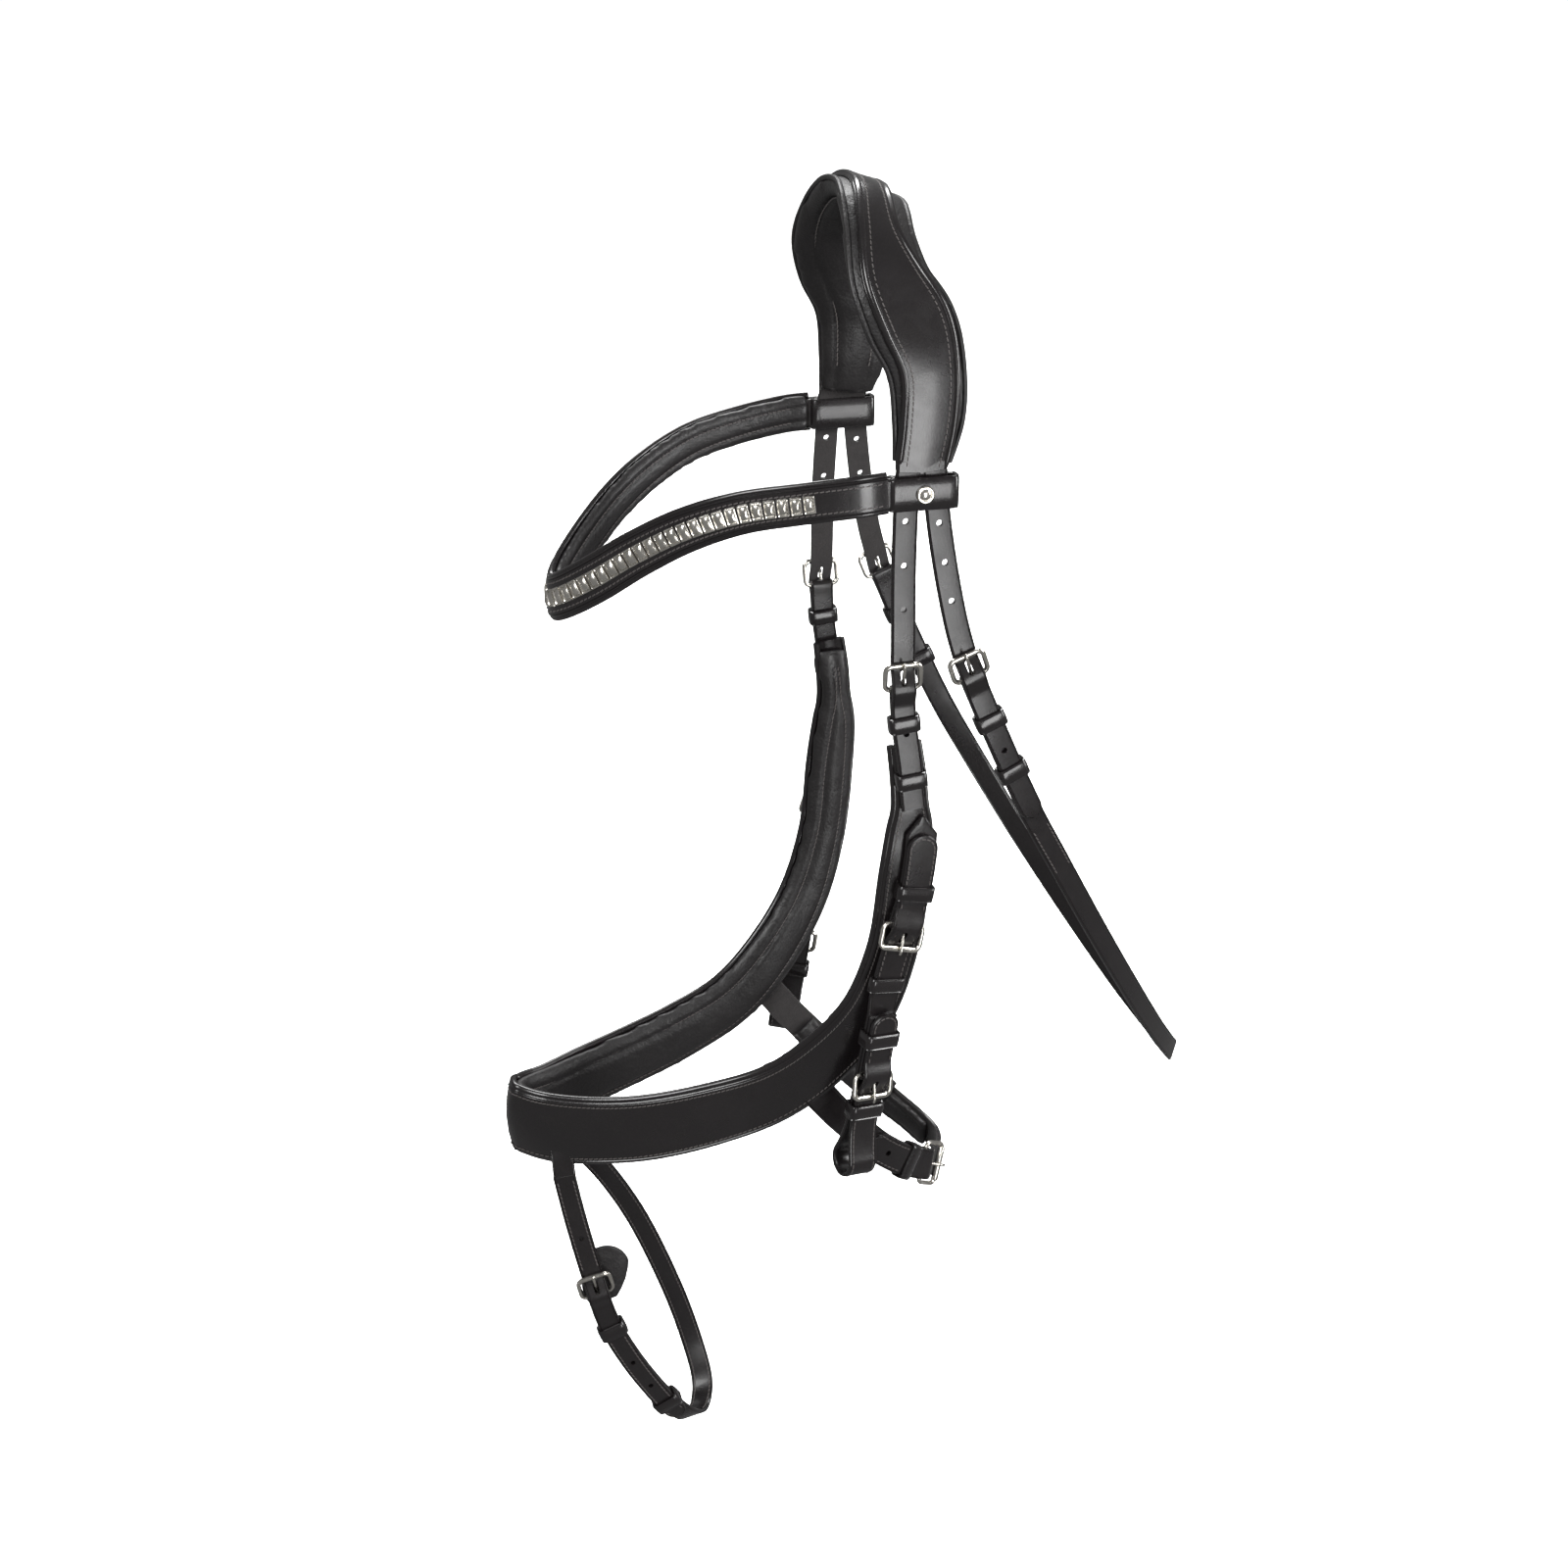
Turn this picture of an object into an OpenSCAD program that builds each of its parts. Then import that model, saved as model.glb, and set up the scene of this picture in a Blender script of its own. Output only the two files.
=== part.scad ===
// Snaffle bridle: padded headpiece, wave browband, padded noseband, bit
// straps, throatlatch, chin strap and flash strap. Millimetres, +Z up, the
// nose towards -X, the horse's left side towards -Y. The origin is the poll
// seat: the middle of the underside of the headpiece pad.

/* [Straps] */
// Width of the cheek, throat and flash straps
strap_w = 12.7; // [12:0.1:13]
// Width of the bit straps
bit_w = 17; // [14:0.5:18]
// Width of the chin strap
chin_w = 18; // [16:0.5:19]
// Thickness of one strap
strap_t = 2.4; // [2:0.1:2.4]
// Radius of a punched hole
hole_r = 1.6; // [1.2:0.1:1.8]
// Length of a keeper along its strap
keeper_l = 8.5; // [7:0.5:9]

/* [Buckles] */
// Radius of the buckle wire
wire_r = 1.3; // [1.2:0.05:1.3]
// Distance from the heel bar to the free bar
bar_gap = 13; // [12.5:0.5:14]
// Radius of the leather fold round a heel bar
fold_r = 2.6; // [2.4:0.1:2.6]
// Radius of a buckle tongue
tongue_r = 0.95; // [0.8:0.05:1]

/* [Padding] */
// Thickness of the headpiece pad
head_pad_t = 12; // [8:1:12]
// Thickness of the browband pad
brow_pad_t = 7; // [5:0.5:8]
// Thickness of the noseband pad
nose_pad_t = 9; // [6:0.5:10]

/* [Browband] */
// Distance between two clincher plates
clincher_pitch = 6.3; // [6:0.1:7]
// Number of clincher plates on each side of the middle one
clinchers = 25; // [10:1:25]

/* [Hidden] */
$fn = 24;

// Colours
black_gloss = [0.07, 0.065, 0.065];
black_matte = [0.11, 0.105, 0.105];
nickel = [0.78, 0.76, 0.73];

// Levels above a strap's path, measured along its outward normal. A heel bar
// lies on the path; the chape is under it and the billet passes over it.
gap = 0.3;
chape_level = -fold_r + strap_t / 2 + 0.15;
over_heel = fold_r + gap + strap_t / 2;
billet_rest = chape_level + strap_t + gap;
bar_lift = strap_t / 2 + 0.25 + wire_r;
keeper_t = 1.4;
back_level = -4;

// Routes: x, y, z and the outward direction, on the left side, top first.
HEAD_LEG = [
    [6, -75, -113, 0, -1, 0],
    [8, -75, -89, 0, -1, 0.02],
    [8, -73, -65, 0, -1, 0.08],
    [4, -68, -43, 0.02, -1, 0.3],
    [-3, -58, -22, 0.1, -0.9, 0.6],
    [-5, -41, -3, 0.22, -0.55, 0.9],
    [-4, -20, 10, 0.3, -0.2, 1],
    [-3, 0, 13, 0.34, 0, 1]
];
CHEEK = [
    [-0.7, -75.4, -113, 0, -1, 0],
    [-2, -76.6, -135, 0, -1, 0],
    [-3, -79, -165, 0, -1, 0],
    [-3, -80.4, -190, 0, -1, 0],
    [-3, -81, -208, 0, -1, 0],
    [-3, -81, -222, 0, -1, 0],
    [-2, -81.6, -240, 0, -1, 0],
    [1, -82.5, -262, 0, -1, 0],
    [4, -83.5, -288, 0, -1, 0]
];
THROAT = [
    [12.7, -75.4, -113, 0, -1, 0],
    [14.5, -76.6, -135, 0, -1, 0],
    [18, -79, -160, 0, -1, 0],
    [22.5, -81, -184, 0, -1, 0],
    [26.5, -82, -200, 0, -1, 0],
    [32, -83, -217, 0, -1, 0],
    [42, -83.5, -241, 0, -1, 0],
    [55, -83, -270, 0.06, -1, 0],
    [69, -82, -299, 0.14, -1, 0],
    [85, -79, -328, 0.22, -1, 0],
    [113, -68, -377, 0.36, -0.9, 0],
    [142, -51, -425, 0.48, -0.85, 0],
    [168, -30, -466, 0.6, -0.8, -0.05],
    [187, -11, -493, 0.8, -0.55, -0.2],
    [193, 0, -501, 1, 0, -0.4]
];
BROW = [
    [-11.6, -77.5, -122, 0, -1, 0],
    [-26, -78, -123, -0.03, -1, 0],
    [-52, -73, -126, -0.18, -1, 0],
    [-80, -64, -131, -0.35, -0.95, 0],
    [-105, -53, -141, -0.5, -0.87, 0],
    [-127, -41, -155, -0.6, -0.8, 0],
    [-146, -27, -171, -0.72, -0.7, 0],
    [-160, -13, -183, -0.9, -0.45, 0],
    [-165, 0, -188, -1, 0, 0]
];
NOSE = [
    [0.5, -78.6, -254, 0, -1, 0],
    [2.8, -79.3, -271, 0, -1, 0],
    [4, -80, -288, 0, -1, 0],
    [4, -80, -303, 0, -1, 0],
    [2, -80, -328, 0, -1, 0],
    [-3, -78, -370, 0, -1, 0],
    [-16, -74, -409, 0, -1, 0],
    [-38, -66, -440, 0, -1, 0],
    [-64, -58, -462, -0.05, -1, 0],
    [-97, -50, -475, -0.15, -1, 0],
    [-130, -42, -483, -0.3, -0.95, 0],
    [-158, -32, -487, -0.5, -0.85, 0],
    [-183, -19, -489, -0.75, -0.65, 0],
    [-198, -8, -488, -0.93, -0.35, 0],
    [-202, 0, -487, -1, 0, 0]
];
BIT = [
    [9, -83.5, -293, 0.03, -1, 0],
    [8, -83.6, -313, 0.05, -1, 0],
    [5, -83.5, -335, 0.08, -1, 0],
    [-1, -83, -358, 0.12, -1, 0],
    [-7, -82, -382, 0.18, -1, 0],
    [-10, -81, -397, 0.22, -1, 0]
];
BIT_END = [
    [-9, -85.2, -400, 0.3, -1, 0],
    [-25, -83, -500, 0.3, -1, 0]
];
CHIN_HALF = [
    [-37, -60, -466, 0, -1, 0],
    [-28, -59, -478, 0, -1, 0],
    [-14, -57, -494, 0.05, -1, 0],
    [0, -53, -509, 0.2, -1, 0],
    [16, -46, -523, 0.5, -0.9, 0],
    [31, -34, -534, 0.75, -0.65, 0],
    [43, -18, -541, 0.93, -0.35, 0],
    [48, 0, -543, 1, 0, 0]
];
FLASH = [
    [-175, -26, -517, -0.2, -1, 0],
    [-170, -29, -545, -0.1, -1, 0],
    [-163, -32, -578, 0, -1, 0],
    [-155, -34, -611, 0, -1, 0],
    [-142, -34, -641, 0, -1, -0.05],
    [-125, -30, -672, 0, -1, -0.15],
    [-109, -22.5, -696, 0.1, -0.9, -0.4],
    [-98, -6, -708, 0.2, -0.3, -1],
    [-92, 11, -701, 0.2, 0.6, -0.7],
    [-95, 22, -681, 0, 1, -0.15],
    [-106, 26, -641, 0, 1, 0],
    [-124, 27, -592, 0, 1, 0],
    [-141, 27, -558, 0, 1, 0],
    [-158, 27, -533, -0.1, 1, 0],
    [-170, 26, -517, -0.2, 1, 0]
];
FLASH_OVER = [
    [-175, -26, -517, -0.2, -1, 0],
    [-170, -29, -545, -0.1, -1, 0],
    [-163, -32, -578, 0, -1, 0],
    [-155, -34, -611, 0, -1, 0],
    [-142, -34, -641, 0, -1, -0.05],
    [-125, -30.5, -672, 0, -1, -0.15],
    [-113, -26.5, -690, 0, -1, -0.25]
];

// Edges of the headpiece across its route, one value for each route point:
// leather front and rear, then pad front and rear.
LEATHER_F = [-13, -12.5, -12.5, -17, -17, -13, -10, -9];
LEATHER_R = [13, 15.5, 16.5, 17.5, 14.5, 9, 9, 10];
PAD_F = [-13.5, -16, -18.5, -24, -23, -19, -17, -16];
PAD_R = [15, 20.5, 21, 21.5, 19, 18.5, 20, 21];
// Half widths of the noseband, its lower edge and its upper edge
NOSE_LOW = [-7.5, -8, -8.5, -11, -12.5, -13, -15, -17, -18.5, -20, -21, -21.5, -22.5, -23.5, -24];
NOSE_UP = [7.5, 8, 8.5, 11, 12.5, 12.5, 13, 14, 15, 16, 16.5, 17, 17.5, 18, 18];
// Half width of the browband leather
BROW_HALF = [8.5, 8.5, 8.5, 8.8, 9.2, 9.6, 10, 10, 10];

// Flips a route point to the right side
function flip(r) = [r[0], -r[1], r[2], r[3], -r[4], r[5]];
// A half list and its mirror image, joined at the middle
function whole(P) = concat(P, [for (i = [len(P) - 2:-1:0]) flip(P[i])]);
function whole_values(T) = concat(T, [for (i = [len(T) - 2:-1:0]) T[i]]);

HEAD = whole(HEAD_LEG);
BROW_ALL = whole(BROW);
NOSE_ALL = whole(NOSE);
CHIN = whole(CHIN_HALF);
THROAT_ALL = whole(THROAT);

// Smooth curve through the entries of a list, at the real index u
function catmull(a, b, c, d, f) =
    0.5 * (2 * b + (c - a) * f + (2 * a - 5 * b + 4 * c - d) * f * f
        + (3 * b - 3 * c + d - a) * f * f * f);
function entry(P, u) =
    let (n = len(P) - 1, i = max(0, min(floor(u), n - 1)))
    catmull(P[max(i - 1, 0)], P[i], P[i + 1], P[min(i + 2, n)], u - i);
function point(P, u) = let (q = entry(P, u)) [q[0], q[1], q[2]];
function unit(v) = v / norm(v);
// Place, direction, across and outward directions of a route at u
function frame_at(P, u) =
    let (
        q = entry(P, u),
        n = len(P) - 1,
        t = unit(point(P, min(u + 0.01, n)) - point(P, max(u - 0.01, 0))),
        b = unit(cross(t, [q[3], q[4], q[5]]))
    )
    [[q[0], q[1], q[2]], t, b, cross(b, t)];

// Index of a route at a distance from its start
function steps(P) =
    let (m = 12 * (len(P) - 1))
    [for (i = 0, s = 0; i <= m;
        s = s + norm(point(P, min(i + 1, m) / 12) - point(P, i / 12)), i = i + 1)
        [s, i / 12]];
function u_at(P, s) = lookup(s, steps(P));

function ease(x) = let (c = max(0, min(1, x))) c * c * (3 - 2 * c);
// Level of a billet: flat under the free bar, up over the fold, down again
function billet_level(d) =
    d > 0 ? over_heel * (1 - ease(d / bar_gap))
          : billet_rest + (over_heel - billet_rest) * (1 - ease(-d / 9));
function signed_distance(P, u, heel, way) =
    way * sign(u - heel) * norm(point(P, u) - point(P, heel));
// Half width near a round tip at index u_tip
function tipped(P, u, u_tip, half) =
    let (d = norm(point(P, u) - point(P, u_tip)))
    d >= half ? half : max(1.5, sqrt(d * (2 * half - d)));

// Cross sections, clockwise, as [across, outward]
function flat(w0, w1, n0, n1) = [[w0, n1], [w1, n1], [w1, n0], [w0, n0]];
function strip(half, level) =
    flat(-half, half, level - strap_t / 2, level + strap_t / 2);
function bulge(v) = sign(v) * pow(abs(v), 0.7);
function cushion(w0, w1, n0, n1) =
    [for (i = [0:11]) let (a = 90 - 30 * i)
        [(w0 + w1) / 2 + (w1 - w0) / 2 * bulge(cos(a)),
         (n0 + n1) / 2 + (n1 - n0) / 2 * bulge(sin(a))]];

module loft(rings) {
    n = len(rings);
    m = len(rings[0]);
    polyhedron(
        [for (r = rings) each r],
        concat(
            [[for (j = [0:m - 1]) j]],
            [for (i = [0:n - 2]) for (j = [0:m - 1])
                [i * m + j, (i + 1) * m + j, (i + 1) * m + (j + 1) % m, i * m + (j + 1) % m]],
            [[for (j = [m - 1:-1:0]) (n - 1) * m + j]]
        ),
        convexity = 10
    );
}

// Carries a cross section, a function of the index, along a route
module band(P, u0, u1, shape, rings = 24) {
    lo = min(u0, u1);
    hi = max(u0, u1);
    loft([for (i = [0:rings])
        let (u = lo + (hi - lo) * i / rings, f = frame_at(P, u))
        [for (q = shape(u)) f[0] + q[0] * f[2] + q[1] * f[3]]]);
}

// Puts children on a route: x across, y along, z outward
module place(P, u) {
    f = frame_at(P, u);
    multmatrix([
        [f[2][0], f[1][0], f[3][0], f[0][0]],
        [f[2][1], f[1][1], f[3][1], f[0][1]],
        [f[2][2], f[1][2], f[3][2], f[0][2]]
    ]) children();
}

module right() { mirror([0, 1, 0]) children(); }
module turned(way) { rotate([0, 0, way > 0 ? 0 : 180]) children(); }
module bar(r, l) { rotate([0, 90, 0]) cylinder(r = r, h = l, center = true); }

// Buckle in its own frame: heel bar at the origin, free bar towards +y
function side_x(w) = w / 2 + 1.4 + wire_r;
module buckle(w, lift = bar_lift) {
    tilt = atan(lift / bar_gap);
    reach = norm([bar_gap, lift]);
    rotate([tilt, 0, 0]) {
        for (y = [0, reach]) translate([0, y, 0]) {
            bar(wire_r, 2 * side_x(w));
            for (s = [-1, 1]) translate([s * side_x(w), 0, 0]) sphere(r = wire_r);
        }
        for (s = [-1, 1]) translate([s * side_x(w), 0, 0])
            rotate([-90, 0, 0]) cylinder(r = wire_r, h = reach);
    }
}

// Tongue: a hub on the heel bar and a pin whose tip lies over the free bar
module tongue(lift = bar_lift + wire_r) {
    rise = lift + tongue_r + 0.7;
    reach = norm([bar_gap, rise]) + 1.6;
    difference() {
        union() {
            bar(fold_r - 0.4, 2.2);
            rotate([atan(rise / bar_gap), 0, 0]) {
                rotate([-90, 0, 0]) cylinder(r = tongue_r, h = reach);
                translate([0, reach, 0]) sphere(r = tongue_r);
            }
        }
        bar(wire_r + 0.12, 8);
    }
}

// Fold of a chape round the heel bar: two knuckles with the tongue between
module fold(w) {
    slot = 3.6;
    knuckle = (w - 0.4 - slot) / 2;
    for (x = [-slot / 2 - knuckle, slot / 2]) translate([x, 0, 0]) rotate([0, 90, 0])
        linear_extrude(height = knuckle) difference() {
            circle(r = fold_r);
            circle(r = wire_r + 0.15);
        }
}
module tongue_slot() {
    translate([0, 5.4, 2]) cube([3.2, 8.4, 14], center = true);
}
// Opening for the tongue's hub in the strap that leaves the fold
module hub_notch() { cube([3, 6.4, 9], center = true); }
module punch() { cylinder(r = hole_r, h = 14, center = true); }

// Index where a chape leaves the fold round a heel bar
function past_fold(P, heel, way) =
    heel + way * (fold_r - 0.7) / norm(point(P, heel + 0.5) - point(P, heel - 0.5));
// Chape: the fold round the heel bar, and the strap from there to u_end
module chape(P, heel, u_end, half, rings = 12) {
    place(P, heel) fold(2 * half);
    difference() {
        band(P, past_fold(P, heel, sign(u_end - heel)), u_end,
            function(u) strip(half, chape_level), rings);
        place(P, heel) hub_notch();
    }
}

// Billet: from u0 past the heel to its round tip. way is the side, in
// increasing index, on which the free bar lies.
module billet(P, u0, u_tip, heel, way, half, holes = [], rings = 36) {
    difference() {
        band(P, u0, u_tip, function(u)
            strip(tipped(P, u, u_tip, half), billet_level(signed_distance(P, u, heel, way))),
            rings);
        place(P, heel) turned(way) tongue_slot();
        for (h = holes) place(P, h) punch();
    }
}

// Keeper round layers that reach from n0 to n1
module keeper(w, n0, n1, l = keeper_l) {
    play = 0.3;
    z0 = n0 - play;
    z1 = n1 + play;
    translate([0, 0, (z0 + z1) / 2]) difference() {
        cube([w + 2 * (play + keeper_t), l, z1 - z0 + 2 * keeper_t], center = true);
        cube([w + 2 * play, l + 2, z1 - z0], center = true);
    }
}
// Keeper whose ends are sewn to the leather under it, with no back wall
module bridge(w, n0, n1, l = keeper_l) {
    play = 0.3;
    side = w / 2 + play;
    top = n1 + play;
    rotate([90, 0, 0]) linear_extrude(height = l, center = true) polygon([
        [-side - keeper_t, n0], [-side - keeper_t, top + keeper_t],
        [side + keeper_t, top + keeper_t], [side + keeper_t, n0],
        [side, n0], [side, top], [-side, top], [-side, n0]
    ]);
}
chape_low = -fold_r;
chape_back = chape_level - strap_t / 2;
billet_top = billet_rest + strap_t / 2;

// Headpiece
module headpiece_leather() {
    F = whole_values(LEATHER_F);
    R = whole_values(LEATHER_R);
    color(black_gloss) band(HEAD, 0, len(HEAD) - 1,
        function(u) flat(entry(F, u), entry(R, u), -1.5, 1.5), 56);
}
module headpiece_pad() {
    F = whole_values(PAD_F);
    R = whole_values(PAD_R);
    end = 0.25;
    color(black_matte) band(HEAD, end, len(HEAD) - 1 - end,
        function(u) let (c = min(1, 0.45 + min(u, len(HEAD) - 1 - u) / 1.5))
            cushion(entry(F, u), entry(R, u), -1.8 - head_pad_t * c, -1.8), 48);
}

// Cheek billets: punched upper part, then the buckled end
cheek_flex = 88;
cheek_heel = 109.5;
cheek_holes = [24, 46, 68];
module cheek_billet() {
    P = CHEEK;
    color(black_gloss) difference() {
        band(P, 0, u_at(P, cheek_flex - 1.3), function(u) strip(strap_w / 2, 0), 14);
        for (s = cheek_holes) place(P, u_at(P, s)) punch();
    }
}
module cheek_billet_end() {
    P = CHEEK;
    color(black_gloss) billet(P, u_at(P, cheek_flex + 1.3), u_at(P, 163),
        u_at(P, cheek_heel), -1, strap_w / 2, [u_at(P, 133), u_at(P, 155)]);
}
module cheek_chape() {
    P = CHEEK;
    color(black_gloss) chape(P, u_at(P, cheek_heel), len(P) - 1, strap_w / 2);
}
module cheek_buckle() {
    color(nickel) place(CHEEK, u_at(CHEEK, cheek_heel)) turned(-1) buckle(strap_w);
}
module cheek_tongue() {
    color(nickel) place(CHEEK, u_at(CHEEK, cheek_heel)) turned(-1) tongue();
}
module cheek_keeper_pair() {
    P = CHEEK;
    color(black_gloss) {
        place(P, u_at(P, 128)) keeper(strap_w, chape_low, billet_top);
        place(P, u_at(P, 159)) bridge(strap_w, chape_back, billet_top);
    }
}

// Throatlatch
throat_flex = 80;
throat_heel = 108;
module throat_billet() {
    P = THROAT;
    color(black_gloss) difference() {
        band(P, u_at(P, 2), u_at(P, throat_flex - 1.3), function(u) strip(strap_w / 2, 0), 14);
        for (s = [26, 46, 66]) place(P, u_at(P, s)) punch();
    }
}
module throat_billet_end() {
    P = THROAT;
    color(black_gloss) billet(P, u_at(P, throat_flex + 1.3), u_at(P, 196),
        u_at(P, throat_heel), -1, strap_w / 2, [u_at(P, 152), u_at(P, 172)], 42);
}
module throat_strap() {
    P = THROAT_ALL;
    heel = u_at(P, throat_heel);
    n = len(P) - 1;
    start = past_fold(P, heel, 1);
    color(black_gloss) {
        difference() {
            band(P, start, n - start, function(u) strip(strap_w / 2, chape_level), 72);
            for (u = [heel, n - heel]) place(P, u) hub_notch();
        }
        for (u = [heel, n - heel]) place(P, u) fold(strap_w);
    }
}
module throat_buckle() {
    color(nickel) place(THROAT, u_at(THROAT, throat_heel)) turned(-1) buckle(strap_w);
}
module throat_tongue() {
    color(nickel) place(THROAT, u_at(THROAT, throat_heel)) turned(-1) tongue();
}
module throat_keeper_pair() {
    P = THROAT;
    color(black_gloss) for (s = [134, 166])
        place(P, u_at(P, s)) keeper(strap_w, chape_low, billet_top);
}

// Browband
module browband_leather() {
    P = BROW_ALL;
    T = whole_values(BROW_HALF);
    color(black_gloss) band(P, 0, len(P) - 1,
        function(u) flat(-entry(T, u), entry(T, u), 0, 2.2), 60);
}
module browband_pad() {
    P = BROW_ALL;
    T = whole_values(BROW_HALF);
    color(black_matte) band(P, 0.5, len(P) - 1.5,
        function(u) let (h = entry(T, u) + 1.6) cushion(-h, h, -0.2 - brow_pad_t, -0.2), 52);
}
module browband_loop() {
    // A flat tube round both billets, joined to the end of the band
    wall = 2.2;
    inner = [2 * strap_w + 5.6, strap_t + 2.2];
    color(black_gloss) translate([6.5, -76.1, -123]) difference() {
        cube([inner[0] + 2 * wall, inner[1] + 2 * wall, 16], center = true);
        cube([inner[0], inner[1], 20], center = true);
    }
}
module browband_clinchers() {
    P = BROW_ALL;
    middle = (len(P) - 1) / 2;
    half_length = norm_length(BROW);
    color(nickel) for (i = [-clinchers:clinchers])
        place(P, u_at(P, half_length + i * clincher_pitch))
            translate([0, 0, 3.6]) cube([9.4, clincher_pitch - 0.5, 2], center = true);
}
function norm_length(P) = let (s = steps(P)) s[len(s) - 1][0];
module browband_badge() {
    color(nickel) translate([6.5, -81.2, -123]) rotate([90, 0, 0]) {
        cylinder(r = 4.6, h = 1.2, center = true);
        translate([0, 0, 0.9]) cylinder(r = 2.6, h = 0.8, center = true);
    }
}

// Noseband
module noseband_leather() {
    P = NOSE_ALL;
    L = whole_values(NOSE_LOW);
    U = whole_values(NOSE_UP);
    color(black_gloss) band(P, 0, len(P) - 1,
        function(u) flat(entry(L, u), entry(U, u), -2.6, 0.4), 80);
}
module noseband_pad() {
    P = NOSE_ALL;
    L = whole_values(NOSE_LOW);
    U = whole_values(NOSE_UP);
    n = len(P) - 1;
    // The pad stops above the flash strap's tunnel at the middle of the front
    color(black_matte) band(P, 0.25, n - 0.25, function(u)
        let (front = ease((3 - abs(u - n / 2)) / 1.2), c = min(1, 0.4 + min(u, n - u) / 2))
        cushion(entry(L, u) - 1.5 + 16 * front, entry(U, u) + 2.5, -2.8 - nose_pad_t * c, -2.8), 72);
}
module flash_tunnel() {
    P = NOSE_ALL;
    m = (len(P) - 1) / 2;
    color(black_gloss) band(P, m - 1.6, m + 1.6, function(u) flat(-22, -6.5, -7.4, -6.2), 16);
}
module flash_middle() {
    P = NOSE_ALL;
    m = (len(P) - 1) / 2;
    color(black_gloss) band(P, m - 2, m + 2, function(u) flat(-21, -8.3, -5.6, -3.2), 20);
}

// Bit straps
bit_heel = 61;
module bit_hanger() {
    P = BIT;
    heel = u_at(P, bit_heel);
    color(black_gloss) {
        difference() {
            band(P, 0, past_fold(P, heel, -1), function(u)
                strip(min(bit_w / 2, 1.5 + 14 * u), chape_level), 16);
            place(P, heel) hub_notch();
        }
        place(P, heel) fold(bit_w);
    }
}
module bit_strap_top() {
    P = BIT;
    color(black_gloss) billet(P, len(P) - 1, u_at(P, 9), u_at(P, bit_heel), 1, bit_w / 2);
}
module bit_top_buckle() {
    color(nickel) place(BIT, u_at(BIT, bit_heel)) buckle(bit_w);
}
module bit_top_tongue() {
    color(nickel) place(BIT, u_at(BIT, bit_heel)) tongue();
}
module bit_top_keeper_pair() {
    P = BIT;
    color(black_gloss) {
        place(P, u_at(P, 42)) bridge(bit_w, chape_back + 1, billet_top);
        place(P, u_at(P, 97)) bridge(bit_w, -strap_t / 2, strap_t / 2);
    }
}

// Lower bit strap: y runs down from its top, n outward, made as one profile
bit_end_heel = 40;
bit_end_tip = 3;
ring_y = 94;
ring_r = 7;
neck_y = 71;
module bit_profile() {
    outer = ring_r + strap_t;
    mid = back_level / 2;
    front = [for (y = [bit_end_tip:1:neck_y]) [y, billet_level(y - bit_end_heel)]];
    h = strap_t / 2;
    polygon(concat([for (p = front) p + [0, h]],
        [for (i = [len(front) - 1:-1:0]) front[i] - [0, h]]));
    translate([0, back_level - h]) square([neck_y, strap_t]);
    difference() {
        union() {
            translate([ring_y, mid]) circle(r = outer, $fn = 64);
            polygon([[neck_y, back_level - h], [neck_y, h],
                [ring_y - 3, mid + outer * 0.92], [ring_y - 3, mid - outer * 0.92]]);
        }
        translate([ring_y, mid]) circle(r = ring_r, $fn = 64);
        polygon([[neck_y - 1, back_level + h], [neck_y - 1, -h],
            [ring_y - 2, mid + ring_r * 0.93], [ring_y - 2, mid - ring_r * 0.93]]);
    }
}
module bit_strap() {
    color(black_gloss) place(BIT_END, 0) difference() {
        rotate([90, 0, 90]) linear_extrude(height = bit_w, center = true) bit_profile();
        translate([0, bit_end_heel, 0]) tongue_slot_wide();
        // Round corners of the tip, front layer only
        translate([0, bit_end_tip, 2]) tip_corners(bit_w / 2, 6);
    }
    // Chape of the lower buckle, sewn to the back layer
    color(black_gloss) place(BIT_END, 0) {
        difference() {
            translate([-bit_w / 2, 6, back_level + strap_t / 2 - 0.1])
                cube([bit_w, bit_end_heel - fold_r - 5.3, chape_level - back_level + 0.1]);
            translate([0, bit_end_heel, 0.4]) cube([3, 6.4, 6], center = true);
        }
        translate([0, bit_end_heel, 0]) fold(bit_w);
    }
}
// The slot for the tongue in the front layer only
module tongue_slot_wide() {
    translate([0, 5.4, 3]) cube([3.2, 8.4, 9], center = true);
}
module tip_corners(half, h) {
    difference() {
        translate([0, half / 2 - 1, 0]) cube([2 * half + 2, half + 2, h], center = true);
        translate([0, half, 0]) cylinder(r = half, h = h + 2, center = true);
        translate([0, 1.5 * half + 1, 0]) cube([2 * half, half + 2, h + 2], center = true);
    }
}
module bit_buckle() {
    color(nickel) place(BIT_END, 0) translate([0, bit_end_heel, 0]) buckle(bit_w);
}
module bit_tongue() {
    color(nickel) place(BIT_END, 0) translate([0, bit_end_heel, 0]) tongue();
}
module bit_keeper_pair() {
    back = back_level - strap_t / 2;
    color(black_gloss) place(BIT_END, 0) {
        translate([0, 19, 0]) keeper(bit_w, back, billet_top);
        translate([0, 63, 0]) keeper(bit_w, back, strap_t / 2);
    }
}

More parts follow.
